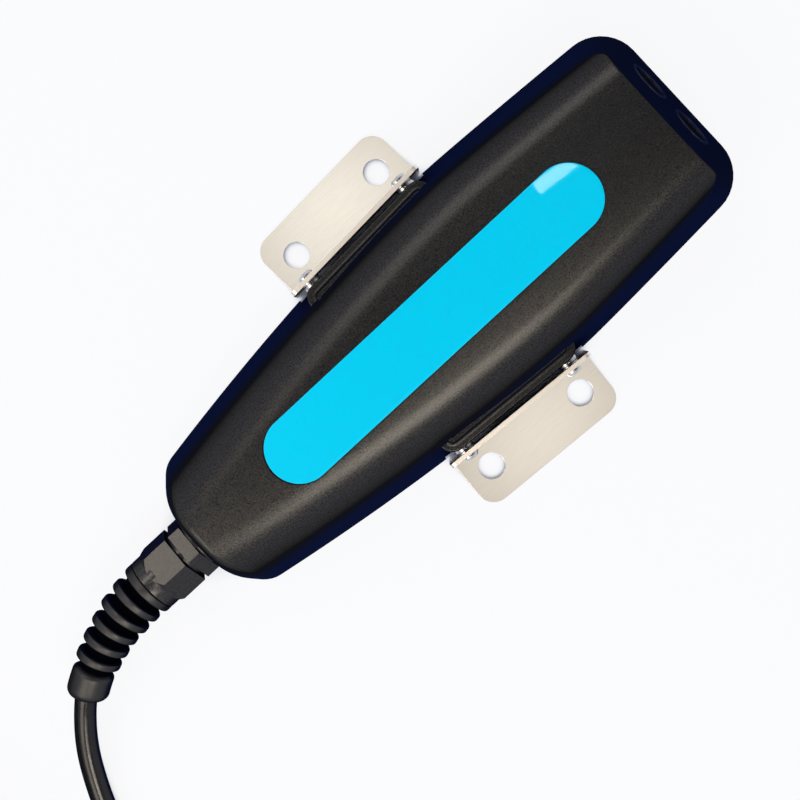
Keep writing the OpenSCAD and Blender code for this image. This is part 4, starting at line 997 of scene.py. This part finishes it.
class SENSOR_OT_guard(bpy.types.Operator):
    """The ribbed bend guard on its curved axis"""
    bl_idname = "sensor.guard"
    bl_label = "Bend guard"

    def execute(self, context):
        sides = context.scene.sensor_shape.guard_sides
        outline = self.outline()
        obj = loose_object("bend_guard_sleeve", bridged([self.ring(s, r, sides) for s, r in outline], True))
        # Depth of the grooves at each ring of points, for the painted shade in the material
        deep = obj.data.attributes.new("groove_shade", "FLOAT", "POINT")
        for i, value in enumerate(deep.data):
            s, r = outline[i // sides]
            ribbed = COLLAR_W < s < GUARD_L - SLEEVE_L + (RIB_W + FLANK) / 2
            crest = GUARD_RADII[max(0, min(GUARD_RIBS, round((s - COLLAR_W / 2) / RIB_PITCH)))]
            depth = (crest - r - GROOVE_SHADE_FROM) / GROOVE_SHADE_OVER
            value.value = max(0.0, min(1.0, depth)) if ribbed else 0.0
        finish_piece(obj, "sensor", guard_elastomer(), "bend_guard", 48.0)
        return {"FINISHED"}

    @staticmethod
    def outline():
        """Distance along the guard and radius there, out along the ribs and back through the bore."""
        out = [(-SPIGOT_L, SPIGOT_R), (0, SPIGOT_R)]
        out += [(s, GUARD_RADII[0] - d) for s, d in COLLAR_PROFILE]
        out.append((COLLAR_W + FLANK, GUARD_RADII[0] - GROOVE))
        half = RIB_W / 2
        rolled = [(RIB_ROLL * (1 - cos(t)), RIB_ROLL * (1 - sin(t))) for t in map(radians, (0, 30, 60, 90))]
        for k in range(1, GUARD_RIBS + 1):
            s, r = COLLAR_W / 2 + k * RIB_PITCH, GUARD_RADII[k]
            out.append((s - half - FLANK, r - GROOVE))
            out += [(s - half + in_by, r - down) for in_by, down in rolled]
            out += [(s + half - in_by, r - down) for in_by, down in rolled[::-1]]
            out.append((s + half + FLANK, r - GROOVE))
        start = GUARD_L - SLEEVE_L
        out.append((start + half, GUARD_RADII[GUARD_RIBS] - GROOVE))
        out += [(start + RIB_W + s, SLEEVE_R - d) for s, d in SLEEVE_LIP]
        lip = SLEEVE_LIP[-1][0]
        plain = SLEEVE_L - RIB_W - lip - SLEEVE_ROUND
        out += [(start + RIB_W + lip + plain * i / 4, SLEEVE_R) for i in (1, 2, 3)]
        out += [(GUARD_L - SLEEVE_ROUND * (1 - sin(t)), SLEEVE_R - SLEEVE_ROUND * (1 - cos(t)))
                for t in map(radians, range(0, 91, 15))]
        return out + [(mix(GUARD_L, -SPIGOT_L, i / BORE_STEPS), GUARD_BORE) for i in range(BORE_STEPS + 1)]

    @staticmethod
    def ring(s, r, sides):
        ahead = guard_way(s)
        across = Vector((0, 0, 1)).cross(ahead).normalized()
        up = ahead.cross(across)
        return [guard_place(s) + r * (cos(2 * pi * k / sides) * across + sin(2 * pi * k / sides) * up)
                for k in range(sides)]


class SENSOR_OT_plug(bpy.types.Operator):
    """The round cable plug on the bed"""
    bl_idname = "sensor.plug"
    bl_label = "Plug"

    def execute(self, context):
        carried(nickel_plate(), "plug_body", "plug_back_nut", "coupling_ring")
        carried(insert_polymer(), "plug_insert")
        carried(turned_brass(), "plug_contacts")
        carried(seal_rubber(), "plug_bush")
        return {"FINISHED"}


class SENSOR_OT_base(bpy.types.Operator):
    """The base plate, its gasket, screws and inserts, the depth cell and the temperature probe"""
    bl_idname = "sensor.base"
    bl_label = "Base"

    def execute(self, context):
        steel, brass, rubber = turned_stainless(), turned_brass(), seal_rubber()
        dressed("base_plate", "sensor", base_abs(), PLATE_EDGE)
        dressed("base_screws", "sensor", steel, BASE_SCREW_EDGE)
        carried(rubber, "base_gasket", "depth_seal")
        carried(brass, "base_inserts", "depth_ring")
        carried(steel, "depth_cell", "temperature_probe")
        return {"FINISHED"}


class SENSOR_OT_electronics(bpy.types.Operator):
    """The circuit board and what it carries"""
    bl_idname = "sensor.electronics"
    bl_label = "Electronics"

    def execute(self, context):
        chip, board, screws = chip_epoxy(), solder_mask(), turned_stainless()
        carried(chip, "processor", "amplifiers")
        carried(board, "circuit_board")
        carried(screws, "board_screws")
        carried(ferrite_and_tape(), "transformer")
        carried(can_sleeve(), "capacitors")
        carried(terminal_pbt(), "cable_terminal")
        carried(header_nylon(), "sensor_header")
        return {"FINISHED"}


class SENSOR_PT_panel(bpy.types.Panel):
    """Sizes, colours and the steps that make the sensor"""
    bl_label = "Sensor"
    bl_idname = "SENSOR_PT_panel"
    bl_space_type = "VIEW_3D"
    bl_region_type = "UI"
    bl_category = "Sensor"

    def draw(self, context):
        for group in (context.scene.sensor_shape, context.scene.sensor_colours, context.scene.sensor_stage):
            box = self.layout.box()
            for key in group.__annotations__:
                box.prop(group, key)
        for operator in OPERATORS:
            self.layout.operator(operator.bl_idname)


OPERATORS = (
    SENSOR_OT_stage, SENSOR_OT_cable, SENSOR_OT_housing, SENSOR_OT_label, SENSOR_OT_brackets,
    SENSOR_OT_transducers, SENSOR_OT_gland, SENSOR_OT_guard, SENSOR_OT_plug, SENSOR_OT_base,
    SENSOR_OT_electronics,
)
CLASSES = (SensorShape, SensorColours, SensorStage) + OPERATORS + (SENSOR_PT_panel,)


def register():
    for each in CLASSES:
        bpy.utils.register_class(each)
    bpy.types.Scene.sensor_shape = PointerProperty(type=SensorShape)
    bpy.types.Scene.sensor_colours = PointerProperty(type=SensorColours)
    bpy.types.Scene.sensor_stage = PointerProperty(type=SensorStage)


def unregister():
    del bpy.types.Scene.sensor_stage, bpy.types.Scene.sensor_colours, bpy.types.Scene.sensor_shape
    for each in reversed(CLASSES):
        bpy.utils.unregister_class(each)


def main():
    register()
    for operator in OPERATORS:
        group, name = operator.bl_idname.split(".")
        getattr(getattr(bpy.ops, group), name)()


if __name__ == "__main__":
    main()
